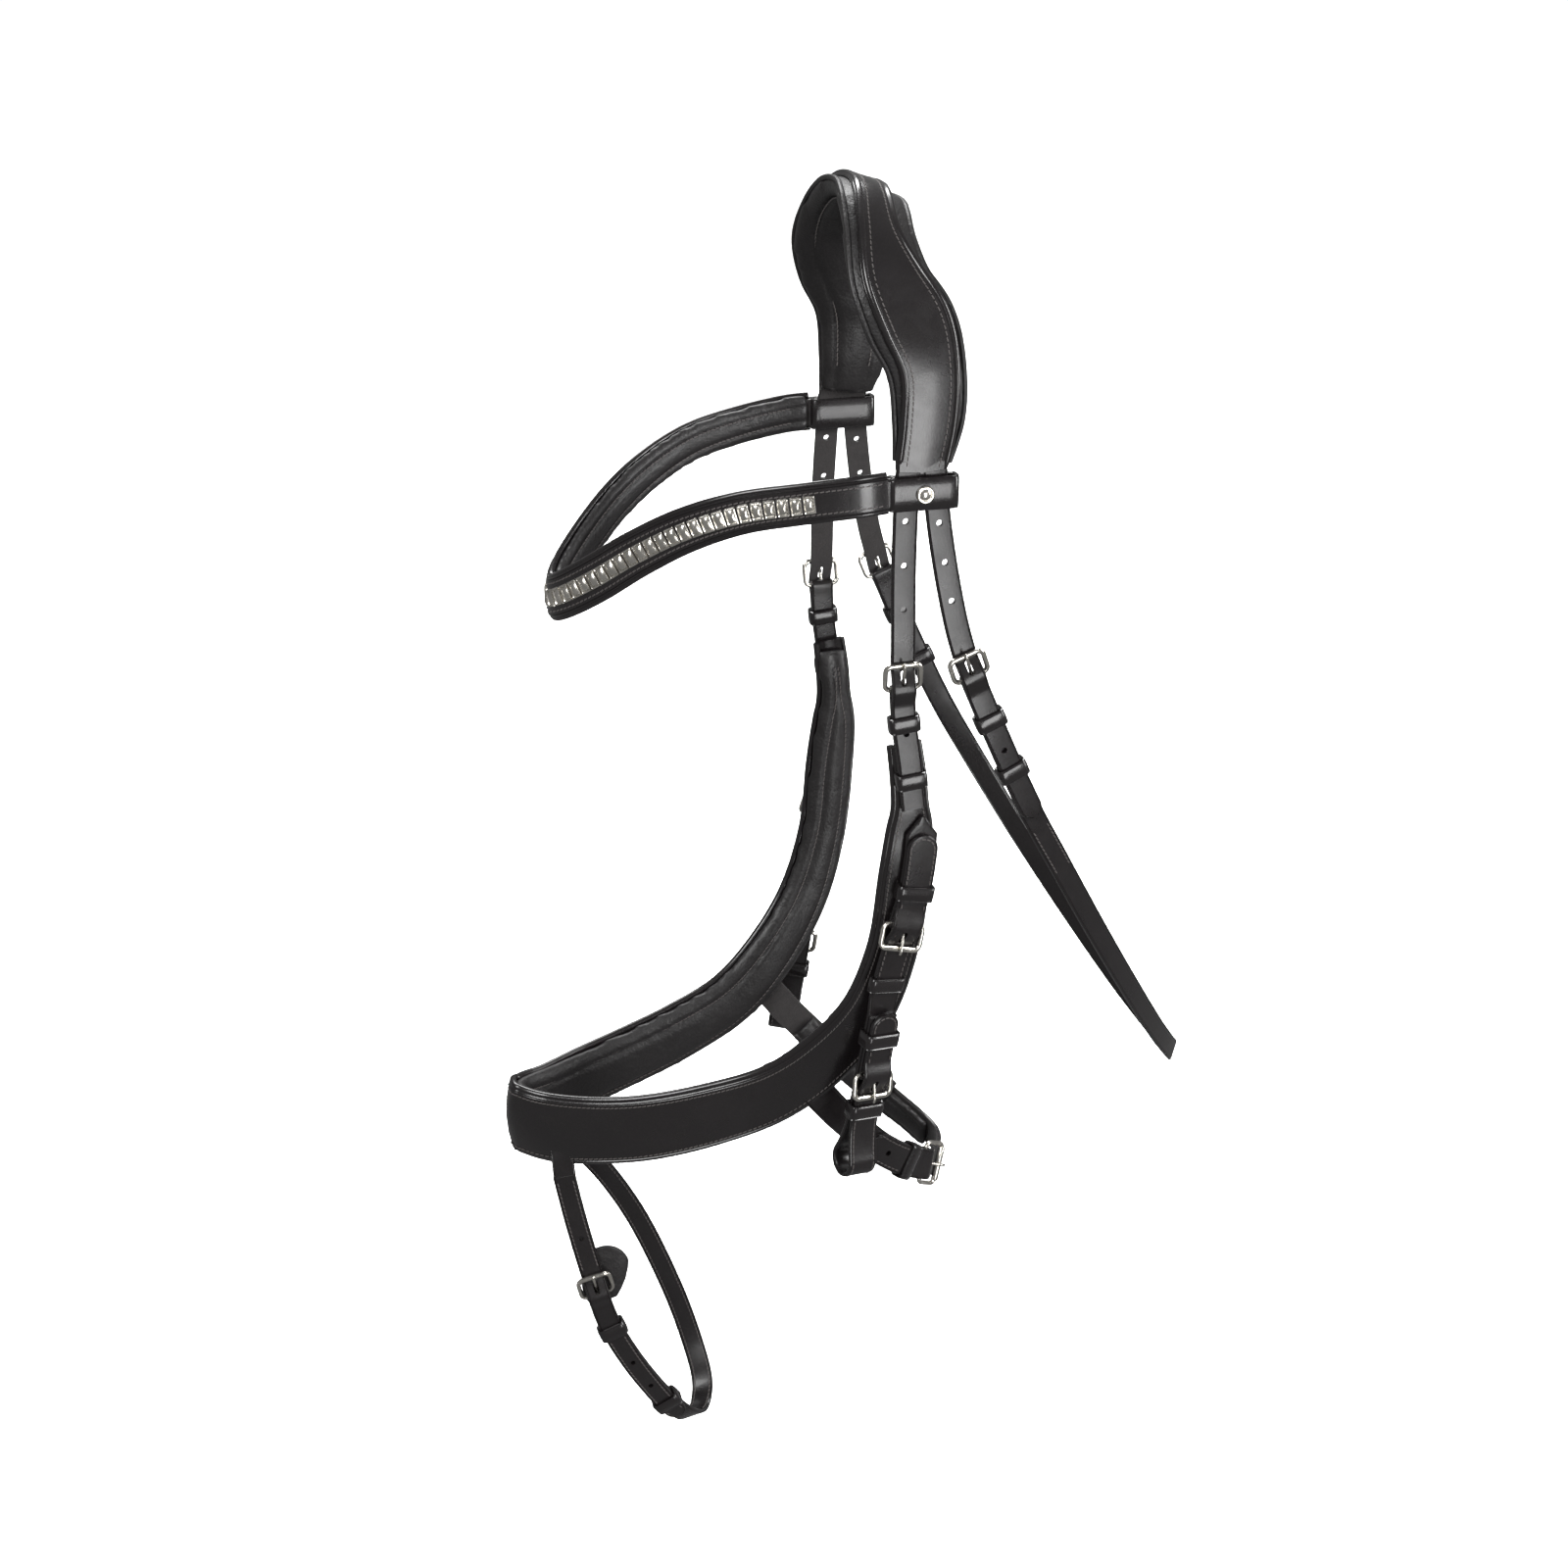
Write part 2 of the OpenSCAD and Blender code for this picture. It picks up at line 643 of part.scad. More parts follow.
// Chin strap: the left chape carries the roller buckle, the long strap comes
// round from the right and is buckled on the left
chin_heel = 98;
module chin_chape() {
    P = CHIN;
    heel = u_at(P, chin_heel);
    color(black_gloss) chape(P, heel, 0.5, chin_w / 2, 16);
}
module chin_strap() {
    P = CHIN;
    color(black_gloss) billet(P, len(P) - 1.5, u_at(P, 44), u_at(P, chin_heel), 1, chin_w / 2,
        [u_at(P, 60), u_at(P, 78)], 56);
}
module chin_pad() {
    P = CHIN;
    m = (len(P) - 1) / 2;
    half = chin_w / 2 + 1;
    color(black_matte) band(P, m + 0.4, len(P) - 1.6,
        function(u) cushion(-half, half, -8, -strap_t / 2 - 0.3), 22);
}
roller_t = 0.75;
chin_lift = bar_lift + roller_t;
module chin_buckle() {
    color(nickel) place(CHIN, u_at(CHIN, chin_heel)) buckle(chin_w, chin_lift);
}
module chin_roller() {
    color(nickel) place(CHIN, u_at(CHIN, chin_heel)) translate([0, bar_gap, chin_lift])
        difference() {
            bar(wire_r + roller_t, chin_w + 1.6);
            bar(wire_r + 0.08, chin_w + 6);
        }
}
module chin_tongue() {
    color(nickel) place(CHIN, u_at(CHIN, chin_heel))
        tongue(chin_lift + wire_r + roller_t + 0.3);
}
module chin_keepers() {
    P = CHIN;
    h = strap_t / 2;
    color(black_gloss) {
        place(P, u_at(P, 80)) keeper(chin_w, chape_low, billet_top);
        place(P, u_at(P, 190)) keeper(chin_w + 2, -8, h, 7);
    }
}

// Flash strap
flash_heel = 78;
module flash_strap() {
    P = FLASH;
    color(black_gloss) chape(P, u_at(P, flash_heel), len(P) - 1, strap_w / 2, 66);
}
module flash_billet() {
    P = FLASH_OVER;
    color(black_gloss) billet(P, 0, len(P) - 1, u_at(P, flash_heel), -1, strap_w / 2,
        [u_at(P, 40), u_at(P, 130), u_at(P, 152)], 44);
}
module flash_buckle() {
    color(nickel) place(FLASH, u_at(FLASH, flash_heel)) turned(-1) buckle(strap_w);
}
module flash_tongue() {
    color(nickel) place(FLASH, u_at(FLASH, flash_heel)) turned(-1) tongue();
}
module flash_keepers() {
    P = FLASH_OVER;
    color(black_gloss) {
        place(P, u_at(P, 104)) keeper(strap_w, chape_low, billet_top);
        place(P, u_at(P, 172)) keeper(strap_w, chape_low - 1.4, billet_top);
    }
}
module flash_guard() {
    // Rounded flap that keeps the buckle off the skin
    color(black_matte) place(FLASH, u_at(FLASH, flash_heel)) translate([0, 0, -5])
        linear_extrude(height = 1.8) {
            translate([-8, -12]) circle(r = 14);
            translate([-20, -12]) square([26, 20]);
        }
}

headpiece_leather();
headpiece_pad();
cheek_billet();  // cheek_billet_L
right() cheek_billet();  // cheek_billet_R
throat_billet();  // throat_billet_L
right() throat_billet();  // throat_billet_R
browband_leather();
browband_pad();
union() { browband_loop(); right() browband_loop(); }  // browband_loops
browband_clinchers();
union() { browband_badge(); right() browband_badge(); }  // browband_badges
noseband_leather();
noseband_pad();
cheek_chape();  // cheek_chape_L
right() cheek_chape();  // cheek_chape_R
union() { cheek_billet_end(); right() cheek_billet_end(); }  // cheek_billet_ends
cheek_buckle();  // cheek_buckle_L
right() cheek_buckle();  // cheek_buckle_R
cheek_tongue();  // cheek_tongue_L
right() cheek_tongue();  // cheek_tongue_R
union() { cheek_keeper_pair(); right() cheek_keeper_pair(); }  // cheek_keepers
bit_hanger();  // bit_hanger_L
right() bit_hanger();  // bit_hanger_R
union() { bit_strap_top(); right() bit_strap_top(); }  // bit_strap_tops
bit_top_buckle();  // bit_top_buckle_L
right() bit_top_buckle();  // bit_top_buckle_R
bit_top_tongue();  // bit_top_tongue_L
right() bit_top_tongue();  // bit_top_tongue_R
union() { bit_top_keeper_pair(); right() bit_top_keeper_pair(); }  // bit_top_keepers
bit_strap();  // bit_strap_L
right() bit_strap();  // bit_strap_R
bit_buckle();  // bit_buckle_L
right() bit_buckle();  // bit_buckle_R
bit_tongue();  // bit_tongue_L
right() bit_tongue();  // bit_tongue_R
bit_keeper_pair();  // bit_keepers_L
right() bit_keeper_pair();  // bit_keepers_R
throat_strap();
union() { throat_billet_end(); right() throat_billet_end(); }  // throat_billet_ends
throat_buckle();  // throat_buckle_L
right() throat_buckle();  // throat_buckle_R
throat_tongue();  // throat_tongue_L
right() throat_tongue();  // throat_tongue_R
union() { throat_keeper_pair(); right() throat_keeper_pair(); }  // throat_keepers
chin_chape();
chin_strap();
chin_pad();
chin_buckle();
chin_roller();
chin_tongue();
chin_keepers();
flash_tunnel();
flash_middle();
flash_strap();
flash_billet();
flash_buckle();
flash_tongue();
flash_keepers();
flash_guard();
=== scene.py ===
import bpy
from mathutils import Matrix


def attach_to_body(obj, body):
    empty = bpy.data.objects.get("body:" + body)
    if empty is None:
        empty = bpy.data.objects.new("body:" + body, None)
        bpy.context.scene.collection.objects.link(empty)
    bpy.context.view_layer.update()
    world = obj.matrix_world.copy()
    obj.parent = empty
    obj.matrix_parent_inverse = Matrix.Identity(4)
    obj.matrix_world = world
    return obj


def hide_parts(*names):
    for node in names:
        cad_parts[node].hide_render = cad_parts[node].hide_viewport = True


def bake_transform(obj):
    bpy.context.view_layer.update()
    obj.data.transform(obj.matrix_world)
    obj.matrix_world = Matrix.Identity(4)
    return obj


bl_info = {
    "name": "Snaffle Bridle",
    "version": (1, 0, 0),
    "blender": (4, 5, 0),
    "location": "View3D > Sidebar > Bridle",
    "description": "Leather, padding, stitching and metalwork of a snaffle bridle",
    "category": "Add Mesh",
}

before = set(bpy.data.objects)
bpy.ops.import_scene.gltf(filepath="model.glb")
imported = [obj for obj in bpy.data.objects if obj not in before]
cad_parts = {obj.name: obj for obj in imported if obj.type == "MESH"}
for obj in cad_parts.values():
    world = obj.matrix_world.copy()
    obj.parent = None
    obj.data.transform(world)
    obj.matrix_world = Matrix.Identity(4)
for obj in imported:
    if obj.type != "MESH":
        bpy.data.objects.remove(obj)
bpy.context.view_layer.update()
import math

import bpy
import numpy as np
from mathutils import Matrix, Vector

MM = 0.001
LEFT, RIGHT = "L", "R"

# Routes in millimetres: x, y, z and the outward direction, left side, top first
HEAD_HALF = [
    (6, -75, -113, 0, -1, 0), (8, -75, -89, 0, -1, 0.02), (8, -73, -65, 0, -1, 0.08),
    (4, -68, -43, 0.02, -1, 0.3), (-3, -58, -22, 0.1, -0.9, 0.6),
    (-5, -41, -3, 0.22, -0.55, 0.9), (-4, -20, 10, 0.3, -0.2, 1), (-3, 0, 13, 0.34, 0, 1)]
CHEEK_ROWS = [
    (-0.7, -75.4, -113, 0, -1, 0), (-2, -76.6, -135, 0, -1, 0), (-3, -79, -165, 0, -1, 0),
    (-3, -80.4, -190, 0, -1, 0), (-3, -81, -208, 0, -1, 0), (-3, -81, -222, 0, -1, 0),
    (-2, -81.6, -240, 0, -1, 0), (1, -82.5, -262, 0, -1, 0), (4, -83.5, -288, 0, -1, 0)]
THROAT_HALF = [
    (12.7, -75.4, -113, 0, -1, 0), (14.5, -76.6, -135, 0, -1, 0), (18, -79, -160, 0, -1, 0),
    (22.5, -81, -184, 0, -1, 0), (26.5, -82, -200, 0, -1, 0), (32, -83, -217, 0, -1, 0),
    (42, -83.5, -241, 0, -1, 0), (55, -83, -270, 0.06, -1, 0), (69, -82, -299, 0.14, -1, 0),
    (85, -79, -328, 0.22, -1, 0), (113, -68, -377, 0.36, -0.9, 0),
    (142, -51, -425, 0.48, -0.85, 0), (168, -30, -466, 0.6, -0.8, -0.05),
    (187, -11, -493, 0.8, -0.55, -0.2), (193, 0, -501, 1, 0, -0.4)]
BROW_HALF = [
    (-11.6, -77.5, -122, 0, -1, 0), (-26, -78, -123, -0.03, -1, 0), (-52, -73, -126, -0.18, -1, 0),
    (-80, -64, -131, -0.35, -0.95, 0), (-105, -53, -141, -0.5, -0.87, 0),
    (-127, -41, -155, -0.6, -0.8, 0), (-146, -27, -171, -0.72, -0.7, 0),
    (-160, -13, -183, -0.9, -0.45, 0), (-165, 0, -188, -1, 0, 0)]
NOSE_HALF = [
    (0.5, -78.6, -254, 0, -1, 0), (2.8, -79.3, -271, 0, -1, 0),
    (4, -80, -288, 0, -1, 0), (4, -80, -303, 0, -1, 0), (2, -80, -328, 0, -1, 0),
    (-3, -78, -370, 0, -1, 0), (-16, -74, -409, 0, -1, 0), (-38, -66, -440, 0, -1, 0),
    (-64, -58, -462, -0.05, -1, 0), (-97, -50, -475, -0.15, -1, 0),
    (-130, -42, -483, -0.3, -0.95, 0), (-158, -32, -487, -0.5, -0.85, 0),
    (-183, -19, -489, -0.75, -0.65, 0), (-198, -8, -488, -0.93, -0.35, 0),
    (-202, 0, -487, -1, 0, 0)]
BIT_ROWS = [
    (9, -83.5, -293, 0.03, -1, 0), (8, -83.6, -313, 0.05, -1, 0), (5, -83.5, -335, 0.08, -1, 0),
    (-1, -83, -358, 0.12, -1, 0), (-7, -82, -382, 0.18, -1, 0), (-10, -81, -397, 0.22, -1, 0)]
BIT_END_ROWS = [(-9, -85.2, -400, 0.3, -1, 0), (-25, -83, -500, 0.3, -1, 0)]
CHIN_HALF = [
    (-37, -60, -466, 0, -1, 0), (-28, -59, -478, 0, -1, 0), (-14, -57, -494, 0.05, -1, 0),
    (0, -53, -509, 0.2, -1, 0), (16, -46, -523, 0.5, -0.9, 0), (31, -34, -534, 0.75, -0.65, 0),
    (43, -18, -541, 0.93, -0.35, 0), (48, 0, -543, 1, 0, 0)]
FLASH_ROWS = [
    (-175, -26, -517, -0.2, -1, 0), (-170, -29, -545, -0.1, -1, 0), (-163, -32, -578, 0, -1, 0),
    (-155, -34, -611, 0, -1, 0), (-142, -34, -641, 0, -1, -0.05), (-125, -30, -672, 0, -1, -0.15),
    (-109, -22.5, -696, 0.1, -0.9, -0.4), (-98, -6, -708, 0.2, -0.3, -1),
    (-92, 11, -701, 0.2, 0.6, -0.7), (-95, 22, -681, 0, 1, -0.15), (-106, 26, -641, 0, 1, 0),
    (-124, 27, -592, 0, 1, 0), (-141, 27, -558, 0, 1, 0), (-158, 27, -533, -0.1, 1, 0),
    (-170, 26, -517, -0.2, 1, 0)]
FLASH_OVER_ROWS = FLASH_ROWS[:5] + [
    (-125, -30.5, -672, 0, -1, -0.15), (-113, -26.5, -690, 0, -1, -0.25)]
# Edges across each route, one value for each row
LEATHER_FRONT = (-13, -12.5, -12.5, -17, -17, -13, -10, -9)
LEATHER_REAR = (13, 15.5, 16.5, 17.5, 14.5, 9, 9, 10)
PAD_FRONT = (-13.5, -16, -18.5, -24, -23, -19, -17, -16)
PAD_REAR = (15, 20.5, 21, 21.5, 19, 18.5, 20, 21)
NOSE_LOW = (-7.5, -8, -8.5, -11, -12.5, -13, -15, -17, -18.5, -20, -21, -21.5, -22.5, -23.5, -24)
NOSE_UP = (7.5, 8, 8.5, 11, 12.5, 12.5, 13, 14, 15, 16, 16.5, 17, 17.5, 18, 18)
BROW_WIDTH = (8.5, 8.5, 8.5, 8.8, 9.2, 9.6, 10, 10, 10)

STRAP_W, BIT_W, CHIN_W = 12.7, 17.0, 18.0
STRAP_T = 2.4
FOLD_R, WIRE_R, TONGUE_R, BAR_GAP = 2.6, 1.3, 0.95, 13.0
CHAPE_LEVEL = -FOLD_R + STRAP_T / 2 + 0.15
OVER_HEEL = FOLD_R + 0.3 + STRAP_T / 2
BILLET_REST = CHAPE_LEVEL + STRAP_T + 0.3
BILLET_TOP = BILLET_REST + STRAP_T / 2
BAR_LIFT = STRAP_T / 2 + 0.25 + WIRE_R
BACK_LEVEL = -4.0
# Play of a keeper on its layers, and the wall of the chin roller
PLAY, ROLLER_T = 0.3, 0.75
# Distance of each buckle's heel bar along its route
CHEEK_HEEL, THROAT_HEEL, BIT_HEEL, CHIN_HEEL, FLASH_HEEL = 109.5, 108.0, 61.0, 98.0, 78.0
# The lower bit strap: its tip, its heel bar and the loop for the ring, down from its top
BIT_TIP, LOW_TIP, LOW_HEEL, RING_Y, RING_R = 9, 3, 40, 94.0, 7.0
# A tongue's slot: half its straight length and its radius; a punched hole's radius
SLOT_HALF, SLOT_R, HOLE_R = 2.4, 1.45, 1.6
# A stitch fills this share of its pitch and leans by this much
STITCH_SHARE, STITCH_LEAN = 0.86, 0.12
# Edges sharper than this, in degrees, stay sharp
SHARP = 35
CLINCHERS, CLINCHER_PITCH, BAND_PLAIN = 25, 6.3, 20
STUD = (6.5, -81.35, -123)


# ---------------------------------------------------------------- settings
class BridleSizes(bpy.types.PropertyGroup):
    """Sizes that a maker would change, in metres."""
    stitch_pitch: bpy.props.FloatProperty(
        name="Stitch pitch", description="Distance from one stitch to the next",
        default=0.0027, min=0.002, max=0.005, subtype="DISTANCE", unit="LENGTH")
    stitch_width: bpy.props.FloatProperty(
        name="Thread width", description="Width of the sewing thread",
        default=0.00095, min=0.0003, max=0.001, subtype="DISTANCE", unit="LENGTH")
    piping: bpy.props.FloatProperty(
        name="Piping radius", description="Radius of the rolled edge on the headpiece",
        default=0.0019, min=0.001, max=0.003, subtype="DISTANCE", unit="LENGTH")
    crease: bpy.props.FloatProperty(
        name="Crease depth", description="Depth of the creased line along a strap's edge",
        default=0.0003, min=0.0, max=0.0006, subtype="DISTANCE", unit="LENGTH")


class BridleColours(bpy.types.PropertyGroup):
    """Colours of the bridle's finishes."""
    grain: bpy.props.FloatVectorProperty(
        name="Grain leather", description="Dyed and polished outer leather",
        default=(0.0095, 0.0078, 0.0082), min=0, max=1, size=3, subtype="COLOR")
    lining: bpy.props.FloatVectorProperty(
        name="Lining leather", description="Soft leather over the padding",
        default=(0.0135, 0.0122, 0.0125), min=0, max=1, size=3, subtype="COLOR")
    flesh: bpy.props.FloatVectorProperty(
        name="Flesh side", description="Rough inner face of a strap",
        default=(0.021, 0.018, 0.0178), min=0, max=1, size=3, subtype="COLOR")
    # Thread colour: partly the thread's own tone and partly a painted highlight, lighter than
    # black thread so the stitches show on the dark leather.
    thread: bpy.props.FloatVectorProperty(
        name="Thread", description="Waxed sewing thread",
        default=(0.085, 0.076, 0.074), min=0, max=1, size=3, subtype="COLOR")
    metal: bpy.props.FloatVectorProperty(
        name="Nickel", description="Nickel plate of buckles and clinchers",
        default=(0.78, 0.75, 0.69), min=0, max=1, size=3, subtype="COLOR")


# ---------------------------------------------------------------- routes
def unit(v):
    """Vectors of any array scaled to length one."""
    return v / np.linalg.norm(v, axis=-1, keepdims=True)


def ease(x):
    """Smooth step: three squares less two cubes of x held between 0 and 1."""
    c = np.clip(x, 0, 1)
    return c * c * (3 - 2 * c)


def curve(rows, u):
    """Smooth curve through rows at real indices u: on each span the cubic through
    its two rows whose end slopes are half the difference of their neighbours."""
    rows = np.asarray(rows, float)
    flat = rows.ndim == 1
    rows = rows[:, None] if flat else rows
    u = np.atleast_1d(np.asarray(u, float))
    n = len(rows) - 1
    i = np.clip(np.floor(u), 0, n - 1).astype(int)
    f = (u - i)[:, None]
    a, b = rows[np.maximum(i - 1, 0)], rows[i]
    c, d = rows[i + 1], rows[np.minimum(i + 2, n)]
    out = 0.5 * (2 * b + (c - a) * f + (2 * a - 5 * b + 4 * c - d) * f**2
                 + (3 * b - 3 * c + d - a) * f**3)
    return out[:, 0] if flat else out


def whole(values):
    """A half list followed by itself backwards, without the middle twice."""
    v = np.asarray(values, float)
    back = v[:-1][::-1].copy()
    if v.ndim == 2:
        back[:, [1, 4]] *= -1
    return np.concatenate([v, back])


def distances(points):
    """Distance along a line of points from its first one, summed span by span."""
    return np.concatenate([[0], np.cumsum(np.linalg.norm(np.diff(points, axis=0), axis=1))])


class Route:
    """A strap's path: place, direction, across and outward at any index or distance."""

    def __init__(self, rows):
        self.rows = np.asarray(rows, float)
        self.last = len(self.rows) - 1
        self.index = np.linspace(0, self.last, 12 * self.last + 1)
        p = curve(self.rows, self.index)[:, :3]
        self.reach = distances(p)
        self.length = self.reach[-1]

    def at(self, s):
        """Index at a distance from the start."""
        return np.interp(s, self.reach, self.index)

    def frames(self, u):
        """Place p, direction t, across b (t cross outward) and outward n (b cross t)."""
        u = np.atleast_1d(np.asarray(u, float))
        q = curve(self.rows, u)
        t = unit(curve(self.rows, np.minimum(u + 0.01, self.last))[:, :3]
                 - curve(self.rows, np.maximum(u - 0.01, 0))[:, :3])
        b = unit(np.cross(t, q[:, 3:]))
        return q[:, :3], t, b, np.cross(b, t)

    def points(self, u, across, level):
        """Places at indices u, moved by across and level."""
        p, _, b, n = self.frames(u)
        k = np.ones(len(p))
        return p + (across * k)[:, None] * b + (level * k)[:, None] * n


HEAD = Route(whole(HEAD_HALF))
CHEEK = Route(CHEEK_ROWS)
THROAT = Route(THROAT_HALF)
THROAT_ALL = Route(whole(THROAT_HALF))
BROW = Route(whole(BROW_HALF))
NOSE = Route(whole(NOSE_HALF))
BIT = Route(BIT_ROWS)
BIT_END = Route(BIT_END_ROWS)
CHIN = Route(whole(CHIN_HALF))
FLASH = Route(FLASH_ROWS)
FLASH_OVER = Route(FLASH_OVER_ROWS)


def billet_level(d):
    """Height of a billet at a signed distance d from its heel bar: flat under the
    free bar, up over the fold, and down again to rest on the chape."""
    return np.where(d > 0, OVER_HEEL * (1 - ease(d / BAR_GAP)),
                    BILLET_REST + (OVER_HEEL - BILLET_REST) * (1 - ease(-d / 9)))


def tip_half(d, half):
    """Half width of a round tip at a distance d from its end: a semicircle."""
    d = np.clip(d, 0.04, half)
    return np.sqrt(d * (2 * half - d))


# ---------------------------------------------------------------- meshes
class Shape:
    """Vertices, faces, texture coordinates and edge wear, joined piece by piece."""

    def __init__(self):
        self.verts, self.faces, self.uvs, self.wear, self.slots = [], [], [], [], []
        self.count = 0

    def grid(self, rings, along=None, across=None, wear=None, slots=None, loop=False):
        """Skin over closed rings, an array of rings by points by 3. Caps close it, or
        loop joins the last ring to the first. The faces point outwards: the sign of the
        volume decides their order."""
        k, m = rings.shape[:2]
        v = rings.reshape(-1, 3)
        i = np.arange(k if loop else k - 1)[:, None]
        j = np.arange(m)[None, :]
        i2, j2 = (i + 1) % k, (j + 1) % m
        quads = np.stack([i * m + j, i2 * m + j, i2 * m + j2, i * m + j2], -1)
        quads = quads.reshape(-1, 4)
        along = np.arange(k) if along is None else np.asarray(along)
        if across is None:
            step = np.linalg.norm(rings[0] - np.roll(rings[0], -1, 0), axis=1)
            across = np.concatenate([[0], np.cumsum(step)])
        far = np.append(along, 2 * along[-1] - along[-2])
        one = np.broadcast_to
        shape = (len(i), m)
        a0, a1 = one(far[i], shape), one(far[i + 1], shape)
        c0, c1 = one(across[j], shape), one(across[j + 1], shape)
        uv = np.stack([np.stack([c0, a0], -1), np.stack([c0, a1], -1),
                       np.stack([c1, a1], -1), np.stack([c1, a0], -1)], 2).reshape(-1, 4, 2)
        tri = v[quads]
        volume = (np.einsum("ij,ij->", tri[:, 0], np.cross(tri[:, 1], tri[:, 2]))
                  + np.einsum("ij,ij->", tri[:, 0], np.cross(tri[:, 2], tri[:, 3])))
        caps = [] if loop else [list(range(m))[::-1], list(range((k - 1) * m, k * m))]
        for c in caps:
            p = v[c]
            volume += np.einsum("ij,ij->", np.cross(p[1:-1], p[2:]),
                                np.repeat(p[:1], m - 2, 0))
        if volume < 0:
            quads, uv = quads[:, ::-1], uv[:, ::-1]
            caps = [c[::-1] for c in caps]
        face_slot = np.zeros(quads.shape[0], int)
        if slots is not None:
            face_slot = np.broadcast_to(slots, shape).reshape(-1)
        self.faces += (quads + self.count).tolist()
        self.faces += [[q + self.count for q in c] for c in caps]
        self.uvs.append(uv.reshape(-1, 2))
        self.uvs += [np.full((m, 2), (0.0, far[0])) for _ in caps]
        self.slots.append(np.concatenate([face_slot, np.zeros(len(caps), int)]))
        self.verts.append(v)
        self.wear.append(np.zeros(len(v)) if wear is None
                         else np.broadcast_to(wear, (k, m)).reshape(-1))
        self.count += len(v)
        return self

    def copies(self, template, faces, places):
        """One template, its points by 3, at each place, an array of places by 4 by 3:
        origin and the three directions of its axes."""
        n, m = len(places), len(template)
        v = places[:, None, 0] + np.einsum("pk,nkc->npc", template, places[:, 1:])
        for f in faces:
            f = np.asarray(f)
            self.faces += (f[None] + self.count + np.arange(n)[:, None] * m).tolist()
        sizes = sum(len(f) for f in faces)
        self.uvs.append(np.zeros((n * sizes, 2)))
        self.slots.append(np.zeros(n * len(faces), int))
        self.verts.append(v.reshape(-1, 3))
        self.wear.append(np.zeros(n * m))
        self.count += n * m
        return self

    def build(self, name, materials, side=LEFT):
        """The object, in metres. The right side is the left one with y turned round."""
        v = np.concatenate(self.verts) * MM
        mesh = bpy.data.meshes.new(name)
        if side == RIGHT:
            v = v * (1, -1, 1)
        mesh.from_pydata(v.tolist(), [], self.faces)
        uv = (np.concatenate(self.uvs) * MM).astype(np.float32)
        mesh.uv_layers.new(name="strap").data.foreach_set("uv", uv.ravel())
        attribute = mesh.attributes.new("wear", "FLOAT", "POINT")
        attribute.data.foreach_set("value", np.concatenate(self.wear).astype(np.float32))
        for m in materials:
            mesh.materials.append(m)
        slots = np.concatenate(self.slots).astype(np.int32)
        mesh.polygons.foreach_set("material_index", slots)
        if side == RIGHT:
            mesh.flip_normals()
        mesh.shade_smooth()
        mesh.set_sharp_from_angle(angle=math.radians(SHARP))
        mesh.update()
        o = bpy.data.objects.new(name, mesh)
        bpy.context.scene.collection.objects.link(o)
        return o


def strap_section(half, thick, crease, both=False):
    """Section of a strap, rings by points by 2: a flat bar with round edges, a slightly
    crowned face and a pressed line one millimetre inside each edge."""
    t = thick / 2
    # share of the half width, distance inwards from the edge, height, edge wear
    top = [(-1, 0, 0.0, 1), (-1, 0.16, 0.55 * t, 1), (-1, 0.45, 0.9 * t, 1), (-1, 0.85, t, 0.6),
           (-1, 1.15, t - crease, 0.9), (-1, 1.45, t, 0.3), (-0.5, 0, t + 0.06, 0),
           (0, 0, t + 0.09, 0), (0.5, 0, t + 0.06, 0), (1, 1.45, t, 0.3),
           (1, 1.15, t - crease, 0.9), (1, 0.85, t, 0.6), (1, 0.45, 0.9 * t, 1),
           (1, 0.16, 0.55 * t, 1), (1, 0, 0.0, 1)]
    if both:
        low = [(a, d, -h, w) for a, d, h, w in top[1:-1]][::-1]
    else:
        low = [(1, 0.16, -0.6 * t, 1), (1, 0.55, -t, 0.6), (0.5, 0, -t, 0), (0, 0, -t, 0),
               (-0.5, 0, -t, 0), (-1, 0.55, -t, 0.6), (-1, 0.16, -0.6 * t, 1)]
    table = np.array(top + low)
    share, inset, height, wear = table.T
    half = np.asarray(half, float)[:, None]
    scale = np.minimum(1, half / 3)
    across = share * half - np.sign(share) * inset * scale * (np.abs(share) == 1)
    size = np.minimum(1, half / 1.5)
    flesh = (height < -0.5 * t) & (not both)
    flesh = flesh & np.roll(flesh, -1)
    return np.stack([across, height * size], -1), wear, flesh.astype(int)


def ribbon(shape, points, across, outward, half, thick=STRAP_T, crease=0.3, both=False):
    """Carries a strap's section along points: each ring is the point plus the section's
    two coordinates times the across and outward directions."""
    k = len(points)
    section, wear, flesh = strap_section(np.broadcast_to(half, (k,)), thick, crease, both)
    rings = (points[:, None] + section[..., :1] * across[:, None]
             + section[..., 1:] * outward[:, None])
    s = distances(points)
    width = section[k // 2, :, 0]
    width = np.append(width, width[0])
    shape.grid(rings, along=s, across=width, wear=wear, slots=flesh)


def strap(route, u, half, level=0.0, thick=STRAP_T, shape=None, both=False, crease=0.3):
    """A strap on a route between indices, at a height above it."""
    shape = shape or Shape()
    p, _, b, n = route.frames(u)
    points = p + np.broadcast_to(level, (len(u),))[:, None] * n
    ribbon(shape, points, b, n, half, thick, crease, both)
    return shape


def samples(s0, s1, step=1.6):
    """Even distances from s0 to s1."""
    return np.linspace(s0, s1, max(2, int(abs(s1 - s0) / step)) + 1)


def tip_samples(s0, s1, half, step=1.6):
    """Distances from s0 to a round tip at s1, bunched towards the tip by squares."""
    way = np.sign(s1 - s0)
    body = np.linspace(s0, s1 - way * half, max(2, int(abs(s1 - s0) / step)))
    end = s1 - way * half * (1 - np.linspace(0, 1, 12)[1:]) ** 2
    return np.concatenate([body, end])


